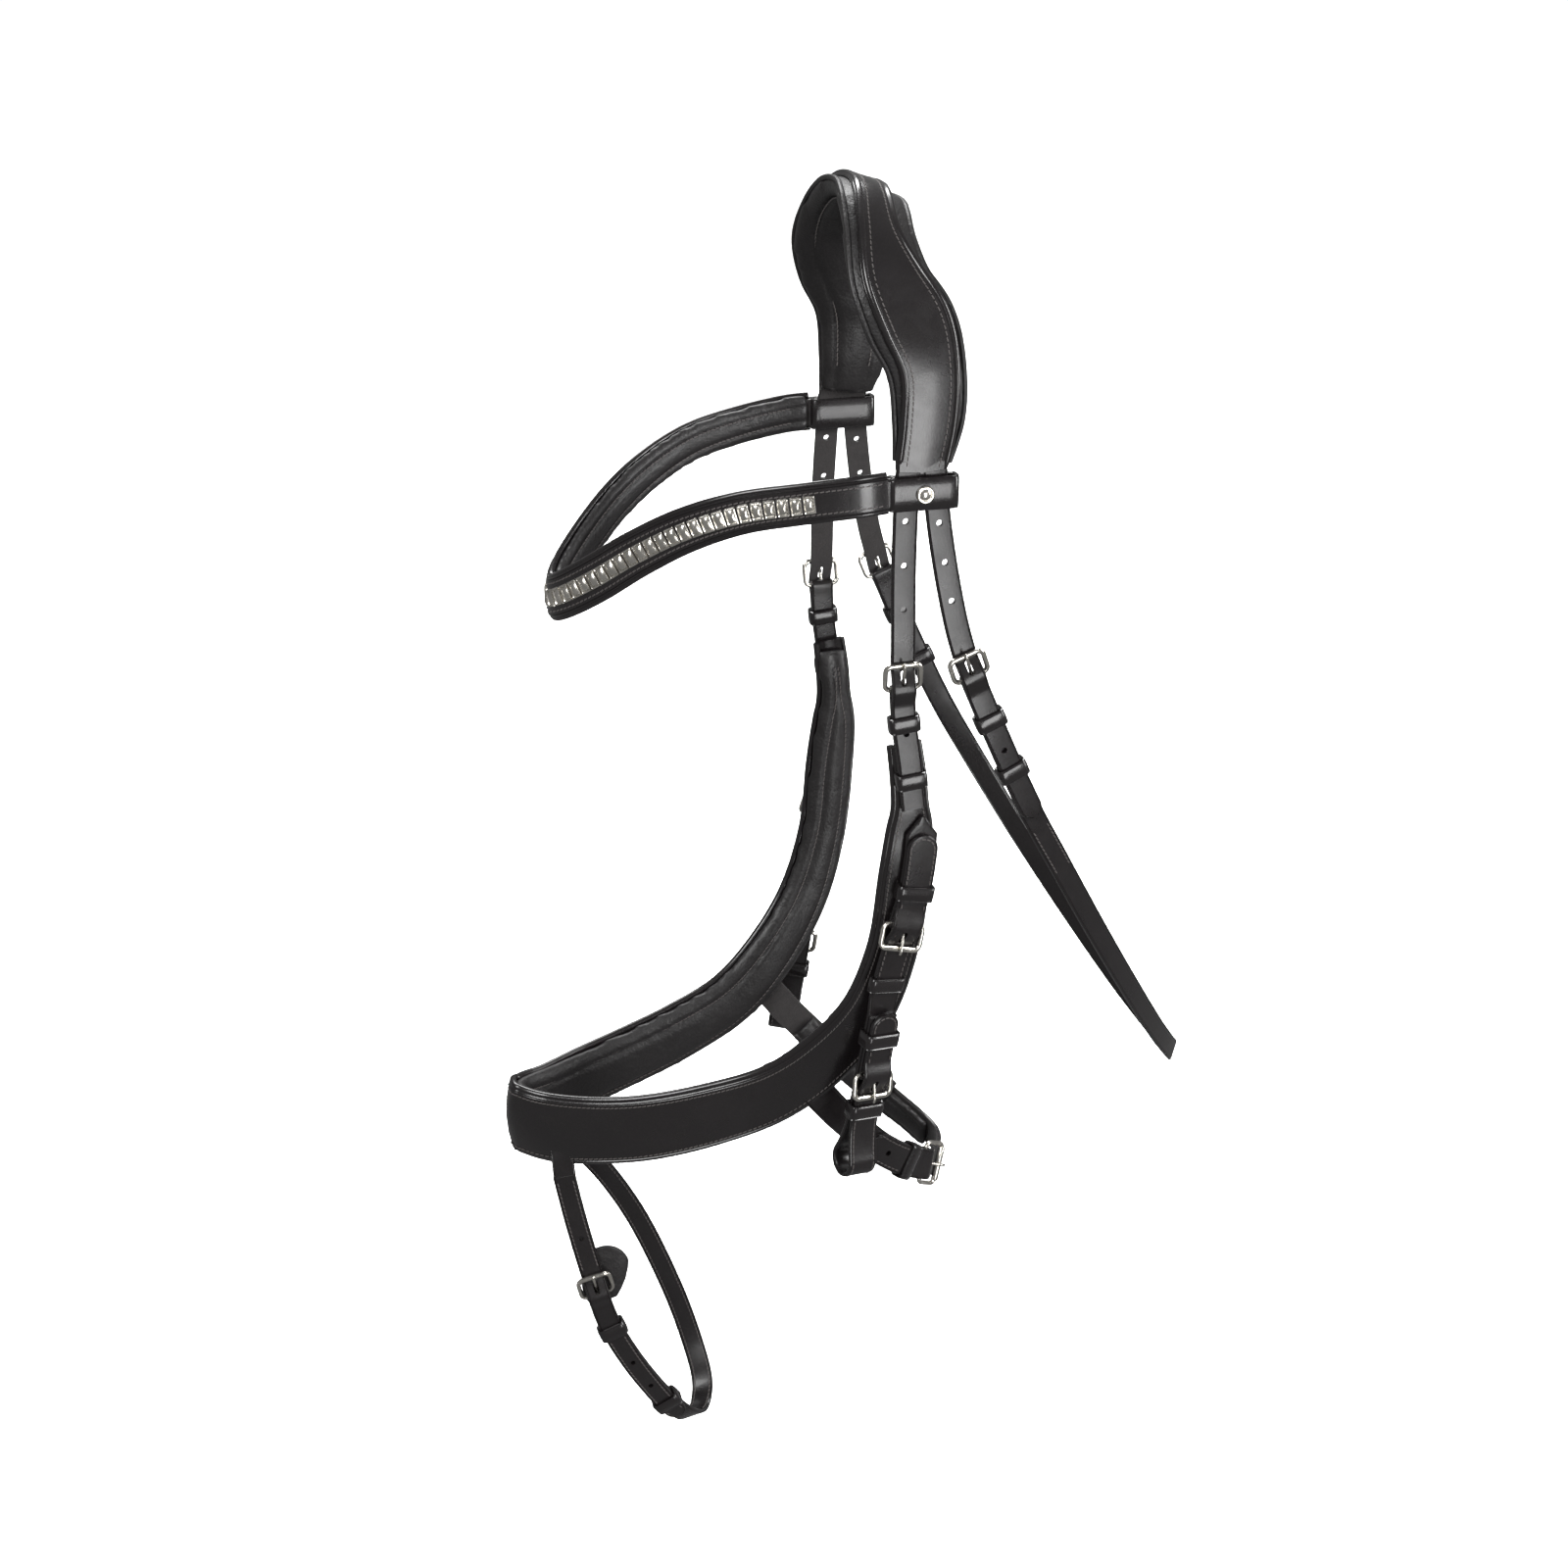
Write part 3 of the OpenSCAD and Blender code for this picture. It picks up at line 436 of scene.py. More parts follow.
def signed(route, s, heel_s, way):
    """Straight distance from the heel bar, positive towards the free bar."""
    p = route.frames(route.at(s))[0]
    h = route.frames(route.at(heel_s))[0]
    return way * np.sign(s - heel_s) * np.linalg.norm(p - h, axis=1)


def billet(route, s0, tip, heel_s, way, half, shape=None, both=False):
    """A billet from distance s0 to its round tip, riding over the fold at its heel bar."""
    s = tip_samples(s0, tip, half)
    level = billet_level(signed(route, s, heel_s, way))
    widths = tip_half(np.abs(s - tip), half)
    return strap(route, route.at(s), widths, level, shape=shape, both=both)


def chape(route, heel_s, s_end, half, shape=None, pointed=False):
    """A chape from its end to the heel bar and round it: the strap lies under the bar,
    then turns half a circle round it and lies back on itself."""
    shape = shape or Shape()
    way = -np.sign(s_end - heel_s)
    s = samples(s_end, heel_s - way * 0.5)
    p, _, b, n = route.frames(route.at(s))
    level = CHAPE_LEVEL - 0.15 * ease(1 - np.abs(s - heel_s) / 6)
    first = p + level[:, None] * n
    h, ht, hb, hn = (x[0] for x in route.frames(route.at(heel_s)))
    angle = np.radians(np.linspace(-90, 96, 22))[1:, None]
    r = FOLD_R - STRAP_T / 2
    out = np.cos(angle) * ht * way + np.sin(angle) * hn
    turn = h + r * out
    back = turn[-1] - way * ht * np.array([[1.2], [2.6]]) - hn * np.array([[0.0], [0.25]])
    points = np.concatenate([first, turn, back])
    across = np.concatenate([b, np.repeat(hb[None], len(turn) + 2, 0)])
    normal = np.concatenate([n, -out, np.repeat(-out[-1:], 2, 0)])
    widths = np.full(len(points), half)
    if pointed:
        widths[:len(s)] = np.minimum(half, 1.2 + 0.75 * np.abs(s - s_end))
    ribbon(shape, points, across, normal, widths, STRAP_T, 0.25, both=True)
    return shape


def cut(o, places, half_length=0.0, radius=HOLE_R, depth=14.0):
    """Cuts round-ended slots through a strap: each cutter is a stadium, its outline two
    half circles set half_length apart, drawn out along the outward direction."""
    a = np.linspace(0, 2 * np.pi, 21)[:-1]
    ring = np.stack([radius * np.cos(a),
                     radius * np.sin(a) + half_length * np.sign(np.round(np.sin(a), 9))], -1)
    tool = Shape()
    for p, b, t, n in places:
        tool.grid(np.stack([p + ring[:, :1] * b + ring[:, 1:] * t + z * n
                            for z in (-depth / 2, depth / 2)]))
    knife = tool.build("knife", [])
    step = o.modifiers.new("cut", "BOOLEAN")
    step.operation, step.solver, step.object = "DIFFERENCE", "EXACT", knife
    settle(o)
    mesh = knife.data
    bpy.data.objects.remove(knife)
    bpy.data.meshes.remove(mesh)
    o.data.set_sharp_from_angle(angle=math.radians(SHARP))
    return o


def settle(o):
    """Applies every modifier of an object to its mesh."""
    graph = bpy.context.evaluated_depsgraph_get()
    graph.update()
    mesh = bpy.data.meshes.new_from_object(o.evaluated_get(graph), depsgraph=graph)
    old, name = o.data, o.data.name
    o.modifiers.clear()
    o.data = mesh
    bpy.data.meshes.remove(old)
    mesh.name = name
    return o


def hole_places(route, distances):
    """Where a strap is punched, as place, across, along and outward."""
    p, t, b, n = route.frames(route.at(np.asarray(distances, float)))
    return list(zip(p, b, t, n))


def slot_place(route, heel_s, way, middle=6.3, lift=3.0):
    """Where a billet is slotted for its tongue."""
    p, t, b, n = (x[0] for x in route.frames(route.at(heel_s)))
    return [(p + way * middle * t + lift * n, b, t, n)]


BEAD = np.array([(-0.5, 0, 0)] + [
    (x, r * math.cos(a), r * math.sin(a)) for x, r in ((-0.42, 0.36), (0.42, 0.36))
    for a in np.radians(np.arange(0, 360, 60))] + [(0.5, 0, 0)])
BEAD_FACES = ([[0, 2 + i if i < 5 else 1, 1 + i] for i in range(6)]
              + [[1 + i, 1 + (i + 1) % 6, 7 + (i + 1) % 6, 7 + i] for i in range(6)]
              + [[13, 7 + i, 7 + (i + 1) % 6] for i in range(6)])


def stitch_size():
    """Pitch and thread width in millimetres."""
    sizes = bpy.context.scene.bridle_sizes
    return sizes.stitch_pitch / MM, sizes.stitch_width / MM


def stitch_row(shape, route, s0, s1, across, level):
    """A row of stitches along a route: short round-ended threads laid end to end on the
    leather. across and level are numbers, or functions of the index."""
    pitch, width = stitch_size()
    count = max(1, int(abs(s1 - s0) / pitch))
    u = route.at(s0 + (np.arange(count) + 0.5) * (s1 - s0) / count)
    a = across(u) if callable(across) else np.full(count, float(across))
    h = level(u) if callable(level) else np.full(count, float(level))
    p, _, b, n = route.frames(u)
    nearby = 1e-2
    ahead, behind = (
        route.points(v, across(v) if callable(across) else a, h)
        for v in (np.minimum(u + nearby, route.last), np.maximum(u - nearby, 0)))
    d = unit(ahead - behind)
    d = unit(d + STITCH_LEAN * unit(np.cross(n, d)))
    centre = p + a[:, None] * b + h[:, None] * n
    shape.copies(BEAD, BEAD_FACES, np.stack(
        [centre, d * pitch * STITCH_SHARE, unit(np.cross(n, d)) * width, n * width], 1))


def edge_rows(shape, half, inset, *runs):
    """Stitches along both edges of a strap: each run is a route, two distances and a
    level."""
    for a in (-half + inset, half - inset):
        for route, s0, s1, level in runs:
            stitch_row(shape, route, s0, s1, a, level)


def tip_arc(shape, route, tip, half, level, inset=2.1):
    """Stitches round a tip: they lie on a half circle inside the tip's own."""
    pitch, width = stitch_size()
    r = half - inset
    a = np.linspace(0, np.pi, max(3, int(np.pi * r / pitch)) + 1)
    a = (a[1:] + a[:-1]) / 2
    p, t, b, n = route.frames(route.at(tip + half - r * np.sin(a)))
    along = -np.sin(a)[:, None] * b - np.cos(a)[:, None] * t
    centre = p + (r * np.cos(a))[:, None] * b + level * n
    shape.copies(BEAD, BEAD_FACES, np.stack(
        [centre, along * pitch * STITCH_SHARE, unit(np.cross(n, along)) * width,
         n * width], 1))


def roll(shape, route, u, across, level, radius, sides=10, squash=1.0):
    """A round cord of leather along a route at a distance across it: a circle of the
    given radius carried along, closed at both ends."""
    a = across(u) if callable(across) else np.broadcast_to(across, (len(u),))
    h = level(u) if callable(level) else np.broadcast_to(level, (len(u),))
    p, _, b, n = route.frames(u)
    angle = np.linspace(0, 2 * np.pi, sides + 1)[:-1]
    r = np.broadcast_to(radius, (len(u),))[:, None, None]
    centre = p + a[:, None] * b + h[:, None] * n
    rings = centre[:, None] + r * (np.cos(angle)[None, :, None] * b[:, None]
                                   + squash * np.sin(angle)[None, :, None] * n[:, None])
    shape.grid(rings, along=distances(centre))
    return shape


def rounded_loop(wide, high, radius, count=12):
    """Closed outline of a rectangle with round corners, as points and their outward
    directions: quarter circles at the corners and the straight runs between them."""
    r = radius
    points, normals = [], []
    for k, (cx, cy) in enumerate(((1, 1), (-1, 1), (-1, -1), (1, -1))):
        a = np.radians(np.linspace(90 * k, 90 * (k + 1), count // 2))
        d = np.stack([np.cos(a), np.sin(a)], -1)
        points.append(np.array([cx * (wide / 2 - r), cy * (high / 2 - r)]) + r * d)
        normals.append(d)
    points, normals = np.concatenate(points), np.concatenate(normals)
    nxt = np.roll(points, -1, 0)
    gap = np.linalg.norm(nxt - points, axis=1)
    out_p, out_n = [], []
    for p, q, n, g in zip(points, nxt, normals, gap):
        k = max(1, int(g / 2.2))
        f = np.arange(k)[:, None] / k
        out_p.append(p + f * (q - p))
        out_n.append(np.repeat(n[None], k, 0))
    return np.concatenate(out_p), np.concatenate(out_n)


def keeper(shape, place, wide, n0, n1, length=8.5, wall=1.4):
    """A leather keeper: a creased band carried round a rounded rectangle that encloses
    the layers from n0 to n1. place is origin, across, along and outward."""
    o, b, t, n = place
    high = n1 - n0 + 2 * PLAY + wall
    loop, normal = rounded_loop(wide + 2 * PLAY + wall, high, min(1.7, high / 2 - 0.05))
    mid = (n0 + n1) / 2
    h, w = length / 2, wall / 2
    section = np.array([(-h, 0), (-h + 0.15, 0.75 * w), (-h + 0.5, w), (-h + 0.85, w - 0.22),
                        (-h + 1.2, w), (0, w + 0.12), (h - 1.2, w), (h - 0.85, w - 0.22),
                        (h - 0.5, w), (h - 0.15, 0.75 * w), (h, 0), (h - 0.3, -w),
                        (0, -w), (-h + 0.3, -w)])
    wear = np.array([1, 1, 0.5, 1, 0.3, 0, 0.3, 1, 0.5, 1, 1, 1, 0, 1])
    centre = o + loop[:, :1] * b + (mid + loop[:, 1:]) * n
    out = normal[:, :1] * b + normal[:, 1:] * n
    rings = (centre[:, None] + section[None, :, :1] * t
             + section[None, :, 1:] * out[:, None])
    shape.grid(rings, along=distances(centre), wear=wear, loop=True)
    return shape


def place_at(route, s, turned=1):
    """Origin, across, along and outward of a route at a distance; turned -1 points
    along backwards, for a buckle whose free bar is nearer the route's start."""
    p, t, b, n = (x[0] for x in route.frames(route.at(s)))
    return p, b * turned, t * turned, n


def buckle_shape(place, w, lift=BAR_LIFT):
    """A wire buckle: a flattened round wire carried round a rounded rectangle, its heel
    bar on the path and its free bar raised above it."""
    o, b, t, n = place
    reach = math.hypot(BAR_GAP, lift)
    along = unit(t * BAR_GAP + n * lift)
    up = unit(np.cross(b, along))
    side = w / 2 + 1.4 + WIRE_R
    loop, normal = rounded_loop(2 * side, reach, 3.0, 16)
    angle = np.linspace(0, 2 * np.pi, 13)[:-1]
    # The free bar is a little heavier than the rest
    heavy = 1 + 0.1 * ease((loop[:, 1] - reach * 0.3) / (reach * 0.2))
    c, s = np.cos(angle), np.sin(angle)
    in_plane = np.sign(c) * np.abs(c) ** 0.85 * WIRE_R * 1.04
    off_plane = np.sign(s) * np.abs(s) ** 0.85 * WIRE_R * 0.94
    centre = o + loop[:, :1] * b + (reach / 2 + loop[:, 1:]) * along
    out = normal[:, :1] * b + normal[:, 1:] * along
    rings = (centre[:, None] + (heavy[:, None] * in_plane)[..., None] * out[:, None]
             + off_plane[None, :, None] * up)
    return Shape().grid(rings, loop=True)


def tongue_shape(place, lift=BAR_LIFT + WIRE_R):
    """A buckle tongue: an eye turned round the heel bar, then a tapering round wire
    that climbs to the free bar and bends down over it."""
    o, b, t, n = place
    rise = lift + TONGUE_R + 0.5
    shape = Shape()
    eye = FOLD_R - 0.4
    a = np.radians(np.linspace(-40, 320, 25))[:-1]
    w = np.linspace(0, 2 * np.pi, 9)[:-1]
    mid, tube = (eye + WIRE_R + 0.12) / 2, (eye - WIRE_R - 0.12) / 2
    out = np.cos(a)[:, None] * t + np.sin(a)[:, None] * n
    shape.grid(o + mid * out[:, None] + tube * np.cos(w)[None, :, None] * out[:, None]
               + 1.05 * np.sin(w)[None, :, None] * b, loop=True)
    x = np.array([1.7, 4, 7, 10, 12, 13, 14, 14.8, 15.2])
    z = np.array([0.7, 1.65, 2.85, 4.1, 4.85, 5.1, 5.12, 4.95, 4.8]) * rise / 5.1
    fine = np.linspace(0, len(x) - 1, 28)
    path = curve(np.stack([x, z], -1), fine)
    d = unit(np.gradient(path, axis=0))
    r = np.interp(fine, [0, 2, 6, 8], [1.0, 0.95, 0.85, 0.72]) * TONGUE_R
    r[-1], r[-2], r[0] = 0.1, r[-2] * 0.72, r[0] * 0.7
    centre = o + path[:, :1] * t + path[:, 1:] * n
    up = -d[:, 1:] * t + d[:, :1] * n
    w = np.linspace(0, 2 * np.pi, 13)[:-1]
    shape.grid(centre[:, None] + (r[:, None] * np.cos(w))[..., None] * b
               + (r[:, None] * np.sin(w))[..., None] * up[:, None])
    return shape


# ---------------------------------------------------------------- finishes
class Value:
    """A number that varies over a surface. Arithmetic on it adds Math nodes."""

    def __init__(self, finish, socket):
        self.finish, self.socket = finish, socket

    def _math(self, operation, a, b):
        return self.finish.node(
            "ShaderNodeMath", {"operation": operation}, {0: a, 1: b}).value()

    def __add__(self, other):
        return self._math("ADD", self, other)

    def __sub__(self, other):
        return self._math("SUBTRACT", self, other)

    def __rsub__(self, other):
        return self._math("SUBTRACT", other, self)

    def __mul__(self, other):
        return self._math("MULTIPLY", self, other)

    __radd__, __rmul__ = __add__, __mul__


class Node:
    """One node of a finish."""

    def __init__(self, finish, node):
        self.finish, self.node = finish, node

    def value(self, name=0):
        return Value(self.finish, self.node.outputs[name])


class Finish:
    """A material being made. Constants go straight onto the shader's sockets."""

    def __init__(self, name, **constants):
        self.material = bpy.data.materials.new(name)
        self.material.use_nodes = True
        self.tree = self.material.node_tree
        self.shader = next(n for n in self.tree.nodes if n.type == "BSDF_PRINCIPLED")
        for key, value in constants.items():
            self.shader.inputs[key.replace("_", " ")].default_value = value
        self.place = self.node("ShaderNodeTexCoord").value("Object")

    def node(self, kind, settings=None, inputs=None):
        """Adds a node: its settings first, then the values or links of its sockets."""
        n = self.tree.nodes.new(kind)
        for key, value in (settings or {}).items():
            if key == "stops":
                while len(n.color_ramp.elements) < len(value):
                    n.color_ramp.elements.new(0.5)
                for e, (at, colour) in zip(n.color_ramp.elements, value):
                    e.position = at
                    e.color = colour
            else:
                setattr(n, key, value)
        for key, value in (inputs or {}).items():
            if isinstance(value, Value):
                self.tree.links.new(value.socket, n.inputs[key])
            else:
                n.inputs[key].default_value = value
        return Node(self, n)

    def feed(self, socket, value):
        """Links a varying value to the shader."""
        self.tree.links.new(value.socket, self.shader.inputs[socket])
        return self

    def noise(self, scale, detail=2.0, roughness=0.5, distortion=0.0):
        return self.node("ShaderNodeTexNoise", {}, {
            "Vector": self.place, "Scale": scale, "Detail": detail,
            "Roughness": roughness, "Distortion": distortion}).value(0)

    def cells(self, scale):
        return self.node("ShaderNodeTexVoronoi", {"feature": "F1"}, {
            "Vector": self.place, "Scale": scale, "Randomness": 1.0}).value("Distance")

    def steps(self, value, low, high, to_low=0.0, to_high=1.0):
        """value moved from one range to another, held at both ends."""
        return self.node("ShaderNodeMapRange", {"clamp": True}, {
            "Value": value, "From Min": low, "From Max": high,
            "To Min": to_low, "To Max": to_high}).value(0)

    def attribute(self, name):
        return self.node("ShaderNodeAttribute", {"attribute_name": name}).value("Fac")

    def mix(self, share, a, b):
        """Colour a turning into colour b."""
        n = self.node("ShaderNodeMix", {"data_type": "RGBA"}, {0: share})
        for key, c in ((6, a), (7, b)):
            if isinstance(c, Value):
                self.tree.links.new(c.socket, n.node.inputs[key])
            else:
                n.node.inputs[key].default_value = (*c, 1.0)
        return Value(self, n.node.outputs[2])

    def bump(self, height):
        """Raises the surface by a height in millimetres."""
        n = self.node("ShaderNodeBump", {}, {
            "Height": height, "Distance": MM, "Strength": 1.0})
        return self.feed("Normal", n.value("Normal"))


def shade(c, k):
    """A colour made lighter or darker."""
    return tuple(min(1.0, x * k) for x in c)


def leather_finish(name, colour, gloss, grain, wrinkle, coat, grain_size):
    """Dyed leather: fine pebbled cells and pores, long soft creases, polish that comes
    and goes, and burnished edges."""
    f = Finish(name, IOR=1.5, Coat_Roughness=0.12, Coat_Weight=coat,
               Specular_IOR_Level=0.5)
    cells = f.cells(grain_size)
    fine = f.noise(grain_size * 2.4, 3, 0.6)
    folds = f.noise(75, 5, 0.62, 1.1)
    cloud = f.noise(22, 3, 0.55)
    wear = f.attribute("wear")
    f.feed("Base Color", f.mix(f.steps(cloud * 0.6 + cells * 0.5, 0.3, 0.95),
                               shade(colour, 0.8), shade(colour, 1.45)))
    rough = f.steps(cloud * 0.55 + folds * 0.45, 0.32, 0.68, gloss - 0.07, gloss + 0.1)
    f.feed("Roughness", rough - wear * 0.05)
    height = cells * grain + fine * (grain * 0.35) + folds * wrinkle
    f.bump(height)


def make_finishes():
    """Makes every material of the bridle."""
    c = bpy.context.scene.bridle_colours
    # name, colour, gloss, grain, wrinkle, coat, size of the grain
    for row in (("polished leather", c.grain, 0.24, 0.022, 0.05, 0.45, 1150.0),
                ("strap leather", c.grain, 0.30, 0.035, 0.04, 0.2, 1000),
                ("soft lining", c.lining, 0.42, 0.14, 0.7, 0.05, 820)):
        leather_finish(*row)
    # Flesh side: matted fibres, no polish
    f = Finish("flesh side", IOR=1.45, Sheen_Weight=0.15, Sheen_Roughness=0.6)
    fibres = f.noise(900, 6, 0.75, 0.6)
    patches = f.noise(140, 4, 0.6)
    f.feed("Base Color", f.mix(f.steps(fibres * 0.7 + patches * 0.5, 0.35, 0.85),
                               shade(c.flesh, 0.6), shade(c.flesh, 1.7)))
    f.feed("Roughness", f.steps(fibres, 0.3, 0.7, 0.62, 0.86))
    f.bump(fibres * 0.55 + patches * 0.3)
    # Waxed thread: twisted plies that catch the light through bump and gloss. Its grey colour and
    # the lighter spots of the ply noise are partly the thread's own tone and partly a painted
    # highlight, lighter than black thread so the stitches show on the leather.
    f = Finish("waxed thread", IOR=1.5, Sheen_Weight=0.1)
    ply_and_glint = f.noise(2600, 2, 0.5)
    f.feed("Base Color", f.mix(ply_and_glint, shade(c.thread, 0.6), shade(c.thread, 1.6)))
    f.feed("Roughness", f.steps(ply_and_glint, 0.3, 0.7, 0.34, 0.5))
    f.bump(ply_and_glint * 0.12)
    # Nickel plate: bright, with hairline polishing marks and duller patches
    f = Finish("nickel plate", Metallic=1.0, IOR=1.8)
    marks = f.noise(1900, 4, 0.7, 0.2)
    cloud = f.noise(160, 3, 0.55)
    f.feed("Base Color", f.mix(f.steps(cloud, 0.35, 0.7), shade(c.metal, 0.82), c.metal))
    f.feed("Roughness", f.steps(marks * 0.5 + cloud * 0.5, 0.35, 0.68, 0.13, 0.3))
    f.bump(marks * 0.018 + cloud * 0.05)


def finish(name):
    """A material of the bridle, all of them being made the first time."""
    if name not in bpy.data.materials:
        make_finishes()
    return bpy.data.materials[name]


STRAP_PAIR = ("strap leather", "flesh side")
POLISHED_PAIR = ("polished leather", "flesh side")


def attach(o, body, *nodes, slot=None):
    """Gives a piece its body, the CAD nodes it stands for and its slot."""
    if isinstance(body, str):
        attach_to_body(o, body)
    else:
        a, b, start, end = body
        tuple(x * MM for x in start)
        tuple(x * MM for x in end)
        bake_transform(o)
    if nodes:
        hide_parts(*nodes)
    return o


def made(shape, name, finishes, body, *nodes, side=LEFT, slot="leather_strap"):
    """Builds a shape, gives it its finishes and attaches it."""
    o = shape.build(name, [finish(f) for f in finishes], side)
    return attach(o, body, *nodes, slot=slot)


def both_sides(make):
    """Runs a maker for the left and the right side."""
    for side in (LEFT, RIGHT):
        make(side)


def leather(shape, name, side=LEFT):
    """Builds a strap with its outer face and its flesh side, not yet attached."""
    return shape.build(name, [finish(f) for f in STRAP_PAIR], side)


def loops(name, body, node, side, *bands):
    """A group of keepers: each band is what keeper takes after its shape."""
    shape = Shape()
    for band in bands:
        keeper(shape, *band)
    return made(shape, name, ["polished leather"], body, node, side=side)


def fasten(name, place, w, body, tongue_body, buckle_node, tongue_node, side=LEFT,
           roller=0.0):
    """A buckle and its tongue; roller is the wall of a sleeve on the free bar."""
    lift = BAR_LIFT + roller
    made(buckle_shape(place, w, lift), f"{name}_buckle_wire_{side}", ["nickel plate"], body,
         buckle_node, side=side, slot="nickel")
    made(tongue_shape(place, lift + WIRE_R + roller), f"{name}_buckle_tongue_{side}",
         ["nickel plate"], tongue_body, tongue_node, side=side, slot="nickel")


# ---------------------------------------------------------------- padding
CLOTH_FRAMES = 20


def cushion_rings(route, u, lo, hi, n0, n1, sides=28, power=0.72):
    """Closed rings of a pad: a rounded oblong between two edges across the route and two
    heights, its corners filled by raising the circle's cosine and sine to a power."""
    a = np.linspace(0, 2 * np.pi, sides + 1)[:-1][::-1]
    bulge = lambda v: np.sign(v) * np.abs(v) ** power
    c, s = bulge(np.cos(a)), bulge(np.sin(a))
    lo, hi, n0, n1 = (np.broadcast_to(x, (len(u),))[:, None] for x in (lo, hi, n0, n1))
    across = (lo + hi) / 2 + (hi - lo) / 2 * c
    level = (n0 + n1) / 2 + (n1 - n0) / 2 * s
    p, _, b, n = route.frames(u)
    return p[:, None] + across[..., None] * b[:, None] + level[..., None] * n[:, None]


def nearest(route, points, step=400):
    """Index, across and level of points near a route, in millimetres."""
    u = np.linspace(0, route.last, step)
    p, _, b, n = route.frames(u)
    best = np.empty(len(points), int)
    for k in range(0, len(points), 4000):
        d = points[k:k + 4000, None] - p[None]
        best[k:k + 4000] = np.argmin(np.einsum("ijk,ijk->ij", d, d), 1)
    d = points - p[best]
    return (u[best], np.einsum("ij,ij->i", d, b[best]), np.einsum("ij,ij->i", d, n[best]),
            b[best], n[best])


def coordinates(o):
    """A mesh's points in millimetres."""
    co = np.zeros(len(o.data.vertices) * 3, np.float32)
    o.data.vertices.foreach_get("co", co)
    return co.reshape(-1, 3).astype(float) / MM


def stuff(o, route, hold, cap, voxel):
    """Stuffs a pad: remeshes it, blows it up as cloth held where it is sewn, and caps
    how far any point has moved. hold says, from index, across and level, how firmly."""
    step = o.modifiers.new("even mesh", "REMESH")
    step.mode, step.voxel_size = "VOXEL", voxel * MM
    settle(o)
    before = coordinates(o)
    u, a, h = nearest(route, before)[:3]
    firm = np.clip(hold(u, a, h), 0, 1)
    group = o.vertex_groups.new(name="sewn")
    for level in np.unique(np.round(firm, 1)):
        ids = np.nonzero(np.round(firm, 1) == level)[0]
        if level > 0:
            group.add(ids.tolist(), float(level), "REPLACE")
    cloth = o.modifiers.new("stuffing", "CLOTH")
    s = cloth.settings
    s.quality = 5
    s.mass = 0.3
    s.tension_stiffness = s.compression_stiffness = 12
    s.shear_stiffness = 6
    s.bending_stiffness = 0.4
    s.use_pressure = True
    s.uniform_pressure_force = 4.0
    s.effector_weights.gravity = 0
    s.vertex_group_mass = "sewn"
    s.pin_stiffness = 1.0
    cloth.point_cache.frame_start, cloth.point_cache.frame_end = 1, CLOTH_FRAMES
    scene = bpy.context.scene
    for f in range(1, CLOTH_FRAMES + 1):
        scene.frame_set(f)
    settle(o)
    scene.frame_set(1)
    after = coordinates(o)
    move = after - before
    far = np.linalg.norm(move, axis=1, keepdims=True)
    limit = cap * (1 - firm)[:, None]
    move = move * np.minimum(1, limit / np.maximum(far, 1e-9))
    o.data.vertices.foreach_set("co", ((before + move) * MM).astype(np.float32).ravel())
    o.vertex_groups.clear()
    even = o.modifiers.new("even", "SMOOTH")
    even.factor, even.iterations = 0.5, 7
    fine = o.modifiers.new("fine", "SUBSURF")
    fine.levels = fine.render_levels = 1
    settle(o)
    return o


def press(o, route, seams):
    """Presses sewn lines into a pad: each seam is an across position from the index, a
    depth, a width and the face it shows on; points near it move in along the outward
    direction by the depth times a bell curve of their distance from the line."""
    co = coordinates(o)
    u, a, h, _, n = nearest(route, co)
    move = np.zeros_like(co)
    for line, depth, width, face, middle in seams:
        centre = middle(u) if callable(middle) else middle
        d = a - line(u)
        bell = np.exp(-(d / width) ** 2) * ((h - centre) * face > 0)
        move -= (face * depth * bell)[:, None] * n
    o.data.vertices.foreach_set("co", ((co + move) * MM).astype(np.float32).ravel())
    o.data.update()
    return o


def pad(name, route, rings, body, node, hold, seams, fill=0.6, **stuffing):
    """A padded piece, stuffed, pressed along its seams and declared."""
    o = Shape().grid(rings).build(name, [])
    stuff(o, route, hold, **stuffing)
    press(o, route, seams)
    o.data.materials.clear()
    o.data.materials.append(finish("soft lining"))
    if not o.data.attributes.get("wear"):
        o.data.attributes.new("wear", "FLOAT", "POINT")
    o.data.shade_smooth()
    attach(o, body, node, slot="leather_pad")
    return o


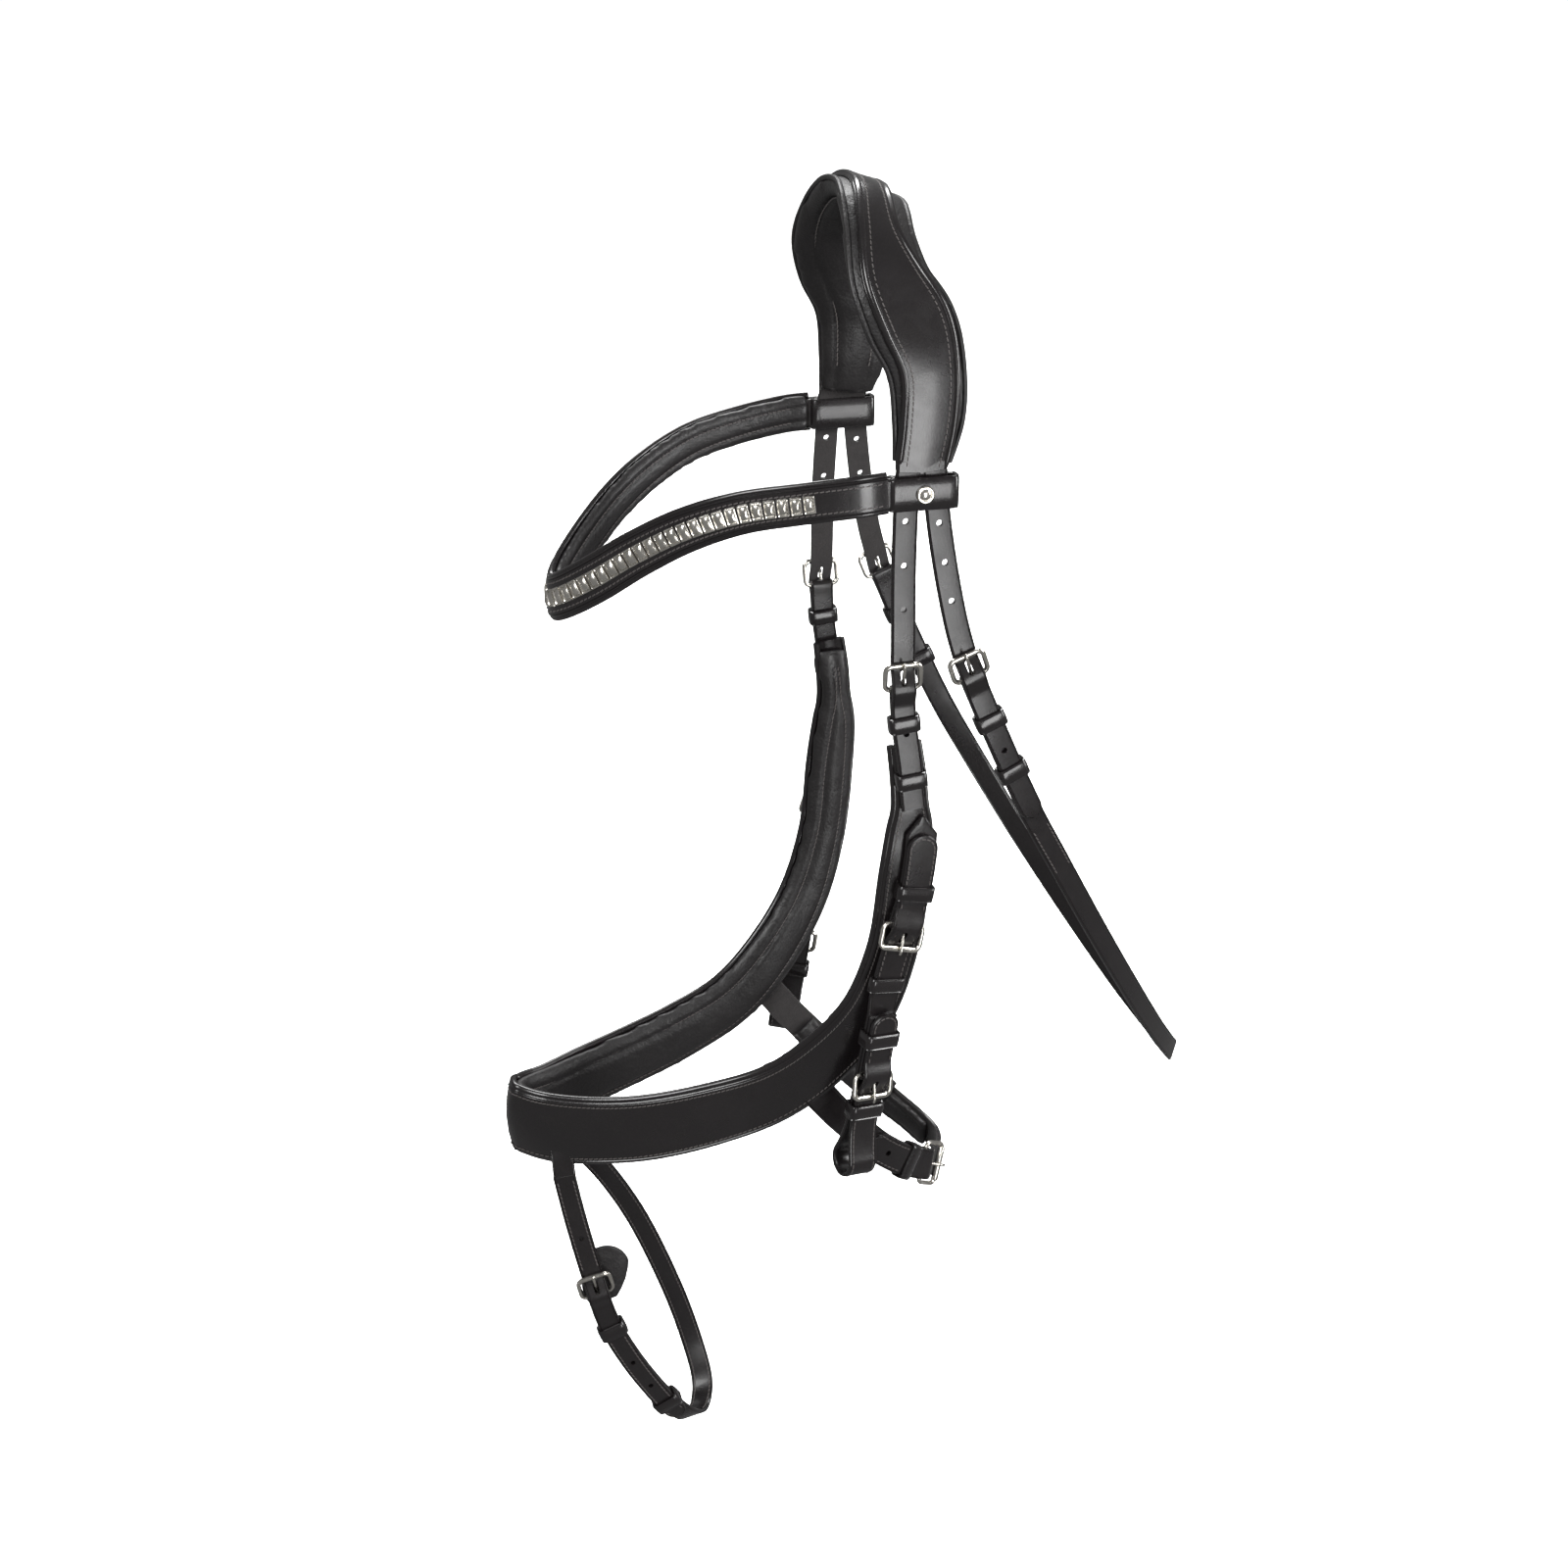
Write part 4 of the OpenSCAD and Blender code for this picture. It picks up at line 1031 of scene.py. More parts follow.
# ---------------------------------------------------------------- pieces
def make_headpiece():
    sizes = bpy.context.scene.bridle_sizes
    front, rear = whole(LEATHER_FRONT), whole(LEATHER_REAR)
    pad_front, pad_rear = whole(PAD_FRONT), whole(PAD_REAR)
    lo, hi = (lambda u: curve(front, u)), (lambda u: curve(rear, u))
    u = np.linspace(0, HEAD.last, 260)
    p, _, b, n = HEAD.frames(u)
    # Crown: crowned strap between two rolled edges
    f, r = lo(u)[:, None], hi(u)[:, None]
    share = np.array([0, 0.06, 0.14, 0.25, 0.4, 0.5, 0.6, 0.75, 0.86, 0.94, 1.0])
    inner_f, inner_r = f + 1.6, r - 1.6
    top_a = inner_f + (inner_r - inner_f) * share
    top_h = 0.55 + 0.75 * np.sin(np.pi * np.clip(share, 0.02, 0.98)) ** 0.45
    low_a = top_a[:, ::-1]
    across = np.concatenate([top_a, low_a], 1)
    level = np.concatenate([np.broadcast_to(top_h, top_a.shape),
                            np.full(top_a.shape, -1.4)], 1)
    rings = p[:, None] + across[..., None] * b[:, None] + level[..., None] * n[:, None]
    s = np.interp(u, HEAD.index, HEAD.reach)
    shape = Shape().grid(rings, along=s, wear=0.0)
    pr = sizes.piping / MM
    ends = np.clip(np.minimum(s, s[-1] - s) / 6, 0.05, 1) ** 0.5
    for edge, inset in ((lo, pr * 0.8), (hi, -pr * 0.8)):
        roll(shape, HEAD, u, lambda x: edge(x) + inset, 0.0, pr * ends, 12, 0.85)
    # Second, thinner roll under each edge, where the lining is turned
    for edge, inset in ((lo, 0.5), (hi, -0.5)):
        roll(shape, HEAD, u, lambda x: edge(x) + inset, -1.3, 1.1 * ends, 10)
    made(shape, "crown_strap", ["polished leather"], "headpiece", "headpiece_leather",
         slot="leather_outer")
    # The split end that runs on into the browband's loop
    tail = Route([(6, -74.9, -108, 0, -1, 0), (5.8, -75.1, -115, 0, -1, 0),
                  (5.6, -75.5, -122, 0, -1, 0)])
    for side in (LEFT, RIGHT):
        u = np.linspace(0, tail.last, 12)
        made(strap(tail, u, np.full(12, 12.6), -0.1, 2.7), f"crown_tail_{side}",
             POLISHED_PAIR, "headpiece", side=side, slot="leather_outer")
    rows = Shape()
    for line in (lambda x: lo(x) + pr * 2 + 1.2, lambda x: hi(x) - pr * 2 - 1.2):
        stitch_row(rows, HEAD, 2, HEAD.length - 2, line, 1.12)
    made(rows, "crown_stitches", ["waxed thread"], "headpiece", slot="leather_outer")
    # Pad: it thins towards both ends, where it stops a little short of the leather
    end, middle = 0.08, -7.0
    full = lambda x: np.minimum(1, 0.45 + np.minimum(x, HEAD.last - x) / 1.5)
    u = np.linspace(end, HEAD.last - end, 160)
    rings = cushion_rings(HEAD, u, curve(pad_front, u) - 0.6, curve(pad_rear, u) + 1.6,
                          -1.8 - 12 * full(u) + 0.6, -1.5, 30)
    pad("crown_pad", HEAD, rings, "headpiece", "headpiece_pad",
        lambda x, a, h: ease((h + 3.2) / 1.2),
        [(lambda x, e=edge: curve(e, x) * 0.5, 1.4, 1.5, -1, middle)
         for edge in (pad_front, pad_rear)],
        fill=0.7, cap=2.6, voxel=3.2)
    welt = Shape()
    u = np.linspace(end + 0.15, HEAD.last - end - 0.15, 260)
    for edge, inset in ((pad_front, 1.3), (pad_rear, -1.3)):
        roll(welt, HEAD, u, lambda x: curve(edge, x) + inset, -2.6 - 1.6 * full(u), 1.5, 10)
    made(welt, "crown_pad_welt", ["soft lining"], "headpiece", slot="leather_pad")
    rows = Shape()
    for edge in (pad_front, pad_rear):
        stitch_row(rows, HEAD, HEAD.length * 0.03 + 8, HEAD.length * 0.97 - 8,
                   lambda x: curve(edge, x) * 0.5, lambda x: -1.8 - 12 * full(x) + 1.1)
    made(rows, "crown_pad_stitches", ["waxed thread"], "headpiece", slot="leather_pad")


def make_cheek_straps():
    def side_piece(side):
        y = -1 if side == LEFT else 1
        s = tip_samples(0, 163, STRAP_W / 2)
        level = np.where(s < 84, 0.0, billet_level(signed(CHEEK, s, CHEEK_HEEL, -1)))
        shape = strap(CHEEK, CHEEK.at(s), tip_half(np.abs(s - 163), STRAP_W / 2), level)
        o = leather(shape, f"cheek_strap_{side}")
        cut(o, hole_places(CHEEK, [24, 46, 68, 133]))
        cut(o, slot_place(CHEEK, CHEEK_HEEL, -1), SLOT_HALF, SLOT_R)
        place_on(o, side)
        attach(o, ("headpiece", "noseband", (-3, y * 80, -184), (-3, y * 80, -214)),
               f"cheek_billet_{side}", "cheek_billet_ends", slot="leather_strap")
        made(chape(CHEEK, CHEEK_HEEL, CHEEK.length + 4, STRAP_W / 2), f"cheek_fold_{side}",
             STRAP_PAIR, "noseband", f"cheek_chape_{side}", side=side)
        loops(f"cheek_loops_{side}", "noseband", "cheek_keepers", side,
              *[(place_at(CHEEK, k), STRAP_W, -FOLD_R, BILLET_TOP) for k in (128, 159)])
        fasten("cheek", place_at(CHEEK, CHEEK_HEEL, -1), STRAP_W, "noseband",
               f"cheek_tongue_{side}", f"cheek_buckle_{side}", f"cheek_tongue_{side}", side)
    both_sides(side_piece)


def place_on(o, side):
    """Turns a left piece into a right one."""
    if side == RIGHT:
        o.data.transform(Matrix.Scale(-1, 4, (0, 1, 0)))
        o.data.flip_normals()
    return o


def make_throatlatch():
    def side_piece(side):
        y = -1 if side == LEFT else 1
        s = tip_samples(0, 196, STRAP_W / 2)
        level = np.where(s < 80, 0.0, billet_level(signed(THROAT, s, THROAT_HEEL, -1)))
        shape = strap(THROAT, THROAT.at(s), tip_half(np.abs(s - 196), STRAP_W / 2), level)
        o = leather(shape, f"throat_billet_{side}_strap")
        cut(o, hole_places(THROAT, [26, 46, 66, 152]))
        cut(o, slot_place(THROAT, THROAT_HEEL, -1), SLOT_HALF, SLOT_R)
        place_on(o, side)
        attach(o, ("headpiece", "throatlatch", (21, y * 81, -176), (29, y * 82, -206)),
               f"throat_billet_{side}", "throat_billet_ends", slot="leather_strap")
        loops(f"throat_loops_{side}", "throatlatch", "throat_keepers", side,
              *[(place_at(THROAT, k), STRAP_W, -FOLD_R, BILLET_TOP) for k in (134, 166)])
        rows = Shape()
        edge_rows(rows, STRAP_W / 2, 2.0, (THROAT, 205, 236, CHAPE_LEVEL + STRAP_T / 2 + 0.05))
        made(rows, f"throat_stitches_{side}", ["waxed thread"], "throatlatch", side=side)
        fasten("throat", place_at(THROAT, THROAT_HEEL, -1), STRAP_W, "throatlatch",
               f"throat_tongue_{side}", f"throat_buckle_{side}", f"throat_tongue_{side}", side)
    both_sides(side_piece)
    # The strap under the throat, with a fold round the bar at each end
    for name, side in (("left", LEFT), ("right", RIGHT)):
        half = chape(THROAT_ALL, THROAT_HEEL, THROAT_ALL.length / 2 + 0.1, STRAP_W / 2)
        made(half, f"throat_strap_{name}_half", STRAP_PAIR, "throatlatch", "throat_strap",
             side=side)


def make_browband():
    width = whole(BROW_WIDTH)
    u = np.linspace(0, BROW.last, 220)
    shape = strap(BROW, u, curve(width, u), 1.1, 2.2)
    for side in (-1, 1):
        roll(shape, BROW, u, lambda x, k=side: k * (curve(width, x) + 0.4), -0.4, 1.7, 12)
    made(shape, "brow_leather", POLISHED_PAIR, "browband", "browband_leather",
         slot="leather_outer")
    rows = Shape()
    for side in (-1, 1):
        stitch_row(rows, BROW, 3, BROW.length - 3,
                   lambda x, k=side: k * (curve(width, x) - 3.0), 2.3)
    made(rows, "brow_stitches", ["waxed thread"], "browband", slot="leather_outer")
    u = np.linspace(0.1, BROW.last - 0.1, 140)
    half = curve(width, u) + 1.9
    rings = cushion_rings(BROW, u, -half, half, -6.9, -0.3, 24)
    pad("brow_pad", BROW, rings, "browband", "browband_pad",
        lambda x, a, h: ease((h + 1.6) / 1.0),
        [(lambda x, k=k: k * (curve(width, x) - 4.6), 1.0, 1.2, -1, -3.5) for k in (-1, 1)],
        fill=0.6, cap=1.8, voxel=2.4)
    rows = Shape()
    for side in (-1, 1):
        stitch_row(rows, BROW, 12, BROW.length - 12,
                   lambda x, k=side: k * (curve(width, x) - 4.6), -6.7)
    made(rows, "brow_pad_stitches", ["waxed thread"], "browband", slot="leather_pad")
    # Ends of the band, sewn into the loops
    tail = Route([(-19, -77.8, -122.6, 0, -1, 0), (-13, -77.6, -122.4, 0, -1, 0),
                  (-7.5, -77.4, -122.4, 0, -1, 0)])
    for side in (LEFT, RIGHT):
        x = np.linspace(0, tail.last, 12)
        shape = strap(tail, x, np.full(12, 7.9), 0.9, 2.2)
        strap(tail, x, np.full(12, 7.4), -1.6, 2.6, shape=shape)
        made(shape, f"brow_tail_{side}", POLISHED_PAIR, "browband", side=side,
             slot="leather_outer")
    # Loops round the headpiece
    def loop_piece(side):
        place = (np.array([6.5, -76.1, -123.0]), np.array([1.0, 0, 0]),
                 np.array([0, 0, -1.0]), np.array([0, -1.0, 0]))
        shape = Shape()
        keeper(shape, place, 30.4, -2.0, 2.0, 16.6, 2.2)
        made(shape, f"brow_loop_{side}", ["polished leather"], "browband", "browband_loops",
             side=side, slot="leather_outer")
        badge = Shape()
        r = np.array([0.0, 1.2, 2.4, 2.9, 3.3, 3.8, 4.5, 4.6, 4.6])
        h = np.array([1.25, 1.2, 0.85, 0.55, 0.95, 0.95, 0.35, 0.1, -0.55])
        a = np.linspace(0, 2 * np.pi, 33)[:-1]
        x, y, z = STUD
        rings = np.stack([np.stack([x + rr * np.cos(a), np.full(32, y - hh),
                                    z + rr * np.sin(a)], -1)
                          for rr, hh in zip(np.maximum(r, 0.02), h)])
        badge.grid(rings)
        made(badge, f"brow_stud_{side}", ["nickel plate"], "browband", "browband_badges",
             side=side, slot="nickel")
    both_sides(loop_piece)
    # Clincher plates: a domed cushion inside a raised frame
    plate_w, plate_l = 9.4, 5.9
    g = np.array([-1, -0.93, -0.8, -0.66, -0.35, 0, 0.35, 0.66, 0.8, 0.93, 1])
    gx, gy = np.meshgrid(g, g, indexing="ij")
    edge = np.maximum(np.abs(gx), np.abs(gy))
    height = np.interp(edge, [0, 0.5, 0.66, 0.8, 0.93, 1.0],
                       [1.5, 1.2, 0.55, 1.15, 0.95, 0.0])
    corner = 1 - 0.07 * (np.abs(gx) ** 8) * (np.abs(gy) ** 8)
    top = np.stack([gy * plate_l / 2 * corner, gx * plate_w / 2 * corner, height], -1)
    top = top.reshape(-1, 3)
    k = len(g)
    i, j = np.meshgrid(np.arange(k - 1), np.arange(k - 1), indexing="ij")
    quads = np.stack([i * k + j, i * k + j + 1, (i + 1) * k + j + 1, (i + 1) * k + j], -1)
    quads = quads.reshape(-1, 4).tolist()
    rim = (list(range(k)) + [r * k + k - 1 for r in range(1, k)]
           + [(k - 1) * k + c for c in range(k - 2, -1, -1)]
           + [r * k for r in range(k - 2, 0, -1)])
    quads.append(rim)
    tri = top[np.array([q[:3] for q in quads[:-1]])]
    if np.cross(tri[:, 1] - tri[:, 0], tri[:, 2] - tri[:, 0])[:, 2].sum() < 0:
        quads = [q[::-1] for q in quads]
    s = BROW.length / 2 + np.arange(-CLINCHERS, CLINCHERS + 1) * CLINCHER_PITCH
    keep = (s > BAND_PLAIN) & (s < BROW.length - BAND_PLAIN)
    p, t, b, n = BROW.frames(BROW.at(s[keep]))
    places = np.stack([p + 2.25 * n, t, b, n], 1)
    if np.dot(np.cross(t[0], b[0]), n[0]) < 0:
        places[:, 1] *= -1
    shape = Shape().copies(top, quads, places)
    made(shape, "clincher_plates", ["nickel plate"], "browband", "browband_clinchers",
         slot="nickel")


def make_noseband():
    low, up = whole(NOSE_LOW), whole(NOSE_UP)
    lo, hi = (lambda x: curve(low, x)), (lambda x: curve(up, x))

    def crown(x, a):
        """How far the leather falls back at a distance across it: the square of the
        share of the half width, times a depth that grows towards the front."""
        near = np.ravel(x)
        f, r = (y.reshape(np.shape(x)) for y in (lo(near), hi(near)))
        share = np.clip((2 * a - f - r) / (r - f), -1, 1)
        front = ease(1 - np.abs(np.asarray(x) - NOSE.last / 2) / (NOSE.last / 2 - 3))
        return (0.5 + 2.3 * front) * share ** 2

    u = np.linspace(0, NOSE.last, 300)
    p, _, b, n = NOSE.frames(u)
    s = np.interp(u, NOSE.index, NOSE.reach)
    f, r = lo(u)[:, None], hi(u)[:, None]
    inset = np.array([0, 0.25, 0.8, 1.3, 1.55, 1.8])
    rise = np.array([-0.9, -0.1, 0.3, 0.35, 0.12, 0.34])
    a1 = f + inset
    a2 = f + (r - f) * np.array([0.25, 0.5, 0.75])
    a3 = r - inset[::-1]
    top = np.concatenate([a1, a2, a3], 1)
    top_h = np.concatenate([rise, [0.42, 0.45, 0.42], rise[::-1]])
    bottom = np.concatenate([r - 0.2, r - 1, (f + r) / 2, f + 1, f + 0.2], 1)
    bottom_h = np.array([-2.0, -2.55, -2.55, -2.55, -2.0])
    across = np.concatenate([top, bottom], 1)
    level = np.concatenate([top_h, bottom_h])[None] - crown(u[:, None], across)
    rings = p[:, None] + across[..., None] * b[:, None] + level[..., None] * n[:, None]
    wear = np.concatenate([[1, 1, 0.8, 0.6, 0.9, 0.3, 0, 0, 0, 0.3, 0.9, 0.6, 0.8, 1, 1],
                           [1, 0.5, 0, 0.5, 1]])
    shape = Shape().grid(rings, along=s, wear=wear)
    roll(shape, NOSE, u, lambda x: hi(x) + 0.2, -2.9 - 0.6 * crown(u, hi(u)), 2.0, 14)
    roll(shape, NOSE, u, lambda x: lo(x) - 0.1, -2.4 - 0.6 * crown(u, lo(u)), 1.2, 10)
    made(shape, "nose_leather", ["polished leather"], "noseband", "noseband_leather",
         slot="leather_outer")
    rows = Shape()
    end = NOSE.length
    for line in (lambda x: lo(x) + 3.2, lambda x: hi(x) - 3.2):
        stitch_row(rows, NOSE, 4, end - 4, line, lambda x, e=line: 0.5 - crown(x, e(x)))
    made(rows, "nose_stitches", ["waxed thread"], "noseband", slot="leather_outer")
    # Lining: thins towards its ends and stops above the tunnel at the front
    raised = lambda x: 16 * ease((3 - np.abs(x - NOSE.last / 2)) / 1.2)
    full = lambda x: np.minimum(1, 0.4 + np.minimum(x, NOSE.last - x) / 2)
    seams = (lambda x: hi(x) - 7.5), (lambda x: lo(x) + 6.5 + raised(x))
    u = np.linspace(0.25, NOSE.last - 0.25, 200)
    rings = cushion_rings(NOSE, u, lo(u) - 0.7 + raised(u), hi(u) + 1.7,
                          -2.8 - 9 * full(u) + 0.8, -2.75, 28)
    pad("nose_pad", NOSE, rings, "noseband", "noseband_pad",
        lambda x, a, h: ease((h + 4.2) / 1.2),
        [(seams[0], 1.3, 1.5, -1, -7.0), (seams[1], 1.1, 1.5, -1, -7.0)],
        fill=0.7, cap=2.4, voxel=3.2)
    rows = Shape()
    for seam in seams:
        stitch_row(rows, NOSE, 14, end - 14, seam, lambda x: -2.8 - 9 * full(x) + 1.0)
    made(rows, "nose_pad_stitches", ["waxed thread"], "noseband", slot="leather_pad")
    # Tunnel for the flash strap and the strap inside it
    m = NOSE.last / 2
    # name, node, reach, rings, across, level, half width, thickness, face
    for name, node, reach, k, across, level, half, thick, face in (
            ("flash_tunnel_leather", "flash_tunnel", 1.6, 60, -14.25, 6.8, 7.75, 1.2, -1),
            ("flash_strap_in_tunnel", "flash_middle", 2, 70, -14.65, 4.4, STRAP_W / 2,
             2.3, 1)):
        p, _, b, n = NOSE.frames(np.linspace(m - reach, m + reach, k))
        shape = Shape()
        ribbon(shape, p + b * across - level * n, b, face * n, np.full(k, half), thick, 0.2)
        made(shape, name, STRAP_PAIR, "noseband", node)


def bit_loop_path():
    """Points, outward directions and distances of the bit strap's lower half: down the
    back layer, round the ring loop and up the front layer to the tip, in the frame of
    the strap's end, y down and z outward."""
    back = np.stack([np.linspace(0, 68, 44), np.full(44, BACK_LEVEL)], -1)
    centre, r = np.array([RING_Y, -2.0]), RING_R + STRAP_T / 2
    a = np.radians(np.linspace(-115, 115, 40))
    ring = centre + r * np.stack([np.cos(a), np.sin(a)], -1)
    y = tip_samples(68, LOW_TIP, BIT_W / 2, 1.4)
    front = np.stack([y, billet_level(y - LOW_HEEL)], -1)
    # Smooth shoulders between the straight layers and the ring
    join = lambda p, q, dp, dq: np.stack([
        (1 + 2 * f) * (1 - f) ** 2 * p + f * (1 - f) ** 2 * dp
        + f * f * (3 - 2 * f) * q + f * f * (f - 1) * dq
        for f in np.linspace(0, 1, 14)[1:-1]])
    down, up = np.array([22.0, 0.0]), np.array([-22.0, 0.0])
    t0 = 16 * np.array([-math.sin(a[0]), math.cos(a[0])])
    t1 = 16 * np.array([-math.sin(a[-1]), math.cos(a[-1])])
    path = np.concatenate([back, join(back[-1], ring[0], down, t0), ring,
                           join(ring[-1], front[0], t1, up), front])
    return path, len(front)


def make_bit_straps():
    def side_piece(side):
        y = -1 if side == LEFT else 1
        half = BIT_W / 2
        # Upper part: round tip, through the buckle, down to the guide keeper
        s = tip_samples(BIT.length - 1.5, BIT_TIP, half)
        p, _, b, n = BIT.frames(BIT.at(s))
        level = billet_level(signed(BIT, s, BIT_HEEL, 1))
        upper = (p + level[:, None] * n)[::-1]
        path, tip_count = bit_loop_path()
        o, et, eb, en = (x[0] for x in BIT_END.frames(0.0))
        lower = o + path[3:, :1] * et + path[3:, 1:] * en
        d = unit(np.gradient(path[3:], axis=0))
        lower_n = -d[:, 1:] * et + d[:, :1] * en
        # The back layer's outward face turns over round the ring, so the sign follows it
        points = np.concatenate([upper, lower])
        across = np.concatenate([b[::-1], np.repeat(eb[None], len(lower), 0)])
        outward = np.concatenate([n[::-1], lower_n])
        widths = np.concatenate([tip_half(np.abs(s - BIT_TIP), half)[::-1],
                                 np.full(len(lower), half)])
        widths[-tip_count:] = tip_half(np.abs(path[-tip_count:, 0] - LOW_TIP), half)
        shape = Shape()
        ribbon(shape, points, across, outward, widths, STRAP_T, 0.3, both=True)
        piece = leather(shape, f"bit_strap_leather_{side}")
        cut(piece, slot_place(BIT, BIT_HEEL, 1), SLOT_HALF, SLOT_R)
        cut(piece, [(o + (LOW_HEEL + 6.3) * et + 3.0 * en, eb, et, en)], SLOT_HALF, SLOT_R,
            depth=6.5)
        place_on(piece, side)
        attach(piece, ("noseband", f"bit_strap_{side}", (-7.5, y * 82, -392),
                       (-11, y * 84, -408)),
               f"bit_strap_{side}", "bit_strap_tops", slot="leather_strap")
        made(chape(BIT, BIT_HEEL, 0.0, half, pointed=True), f"bit_hanger_fold_{side}",
             STRAP_PAIR, "noseband", f"bit_hanger_{side}", side=side)
        # Chape of the lower buckle, sewn to the back layer
        fold = Shape()
        ys = np.linspace(6, 39.5, 22)
        first = np.stack([ys, np.full(22, CHAPE_LEVEL - 0.1)], -1)
        ang = np.radians(np.linspace(-90, 96, 22))[1:]
        r = FOLD_R - STRAP_T / 2
        turn = np.array([LOW_HEEL, 0.0]) + r * np.stack([np.cos(ang), np.sin(ang)], -1)
        flat_path = np.concatenate([first, turn])
        d = unit(np.gradient(flat_path, axis=0))
        pts = o + flat_path[:, :1] * et + flat_path[:, 1:] * en
        out = -d[:, 1:] * et + d[:, :1] * en
        ribbon(fold, pts, np.repeat(eb[None], len(pts), 0), out, np.full(len(pts), half),
               STRAP_T, 0.25, both=True)
        made(fold, f"bit_lower_fold_{side}", STRAP_PAIR, f"bit_strap_{side}", side=side)
        loops(f"bit_top_loops_{side}", "noseband", "bit_top_keepers", side,
              (place_at(BIT, 42), BIT_W, -FOLD_R, BILLET_TOP),
              (place_at(BIT, 97), BIT_W, -STRAP_T / 2, STRAP_T / 2))
        back = BACK_LEVEL - STRAP_T / 2
        loops(f"bit_low_loops_{side}", f"bit_strap_{side}", f"bit_keepers_{side}", side,
              *[((o + down * et, eb, et, en), BIT_W, back, top)
                for down, top in ((19, BILLET_TOP), (63, STRAP_T / 2))])
        rows = Shape()
        edge_rows(rows, half, 2.1, (BIT, 17, 37, BILLET_TOP + 0.1),
                  (BIT, 47, 52, BILLET_TOP + 0.6), (BIT, 76, 92, STRAP_T / 2 + 0.1))
        tip_arc(rows, BIT, BIT_TIP, half, BILLET_TOP + 0.1)
        made(rows, f"bit_top_stitches_{side}", ["waxed thread"], "noseband", side=side)
        rows = Shape()
        edge_rows(rows, half, 2.1, (BIT_END, 11, 14, BILLET_TOP + 0.1),
                  (BIT_END, 24, 32, BILLET_TOP + 0.4), (BIT_END, 68, 72, STRAP_T / 2 + 0.1))
        tip_arc(rows, BIT_END, LOW_TIP, half, BILLET_TOP + 0.1)
        # Stitches round the outside of the ring's loop
        line = path[:-tip_count][-50:]
        ahead = unit(np.gradient(line, axis=0))
        inward = np.stack([-ahead[:, 1], ahead[:, 0]], -1)
        reach = distances(line)
        pitch, width = stitch_size()
        at = np.arange(pitch / 2, reach[-1], pitch)
        q, dq, nq = (np.stack([np.interp(at, reach, v[:, k]) for k in (0, 1)], -1)
                     for v in (line, ahead, inward))
        dv = dq[:, :1] * et + dq[:, 1:] * en
        nv = nq[:, :1] * et + nq[:, 1:] * en
        for a in (-half + 2.1, half - 2.1):
            c = (o + a * eb + (q[:, :1] - 1.26 * nq[:, :1]) * et
                 + (q[:, 1:] - 1.26 * nq[:, 1:]) * en)
            rows.copies(BEAD, BEAD_FACES, np.stack(
                [c, dv * pitch * STITCH_SHARE, np.repeat(eb[None] * width, len(c), 0),
                 nv * width], 1))
        made(rows, f"bit_loop_stitches_{side}", ["waxed thread"], f"bit_strap_{side}",
             side=side)
        fasten("bit_top", place_at(BIT, BIT_HEEL, 1), BIT_W, "noseband",
               f"bit_top_tongue_{side}", f"bit_top_buckle_{side}", f"bit_top_tongue_{side}", side)
        fasten("bit_low", (o + LOW_HEEL * et, eb, et, en), BIT_W, f"bit_strap_{side}",
               f"bit_tongue_{side}", f"bit_buckle_{side}", f"bit_tongue_{side}", side)
    both_sides(side_piece)


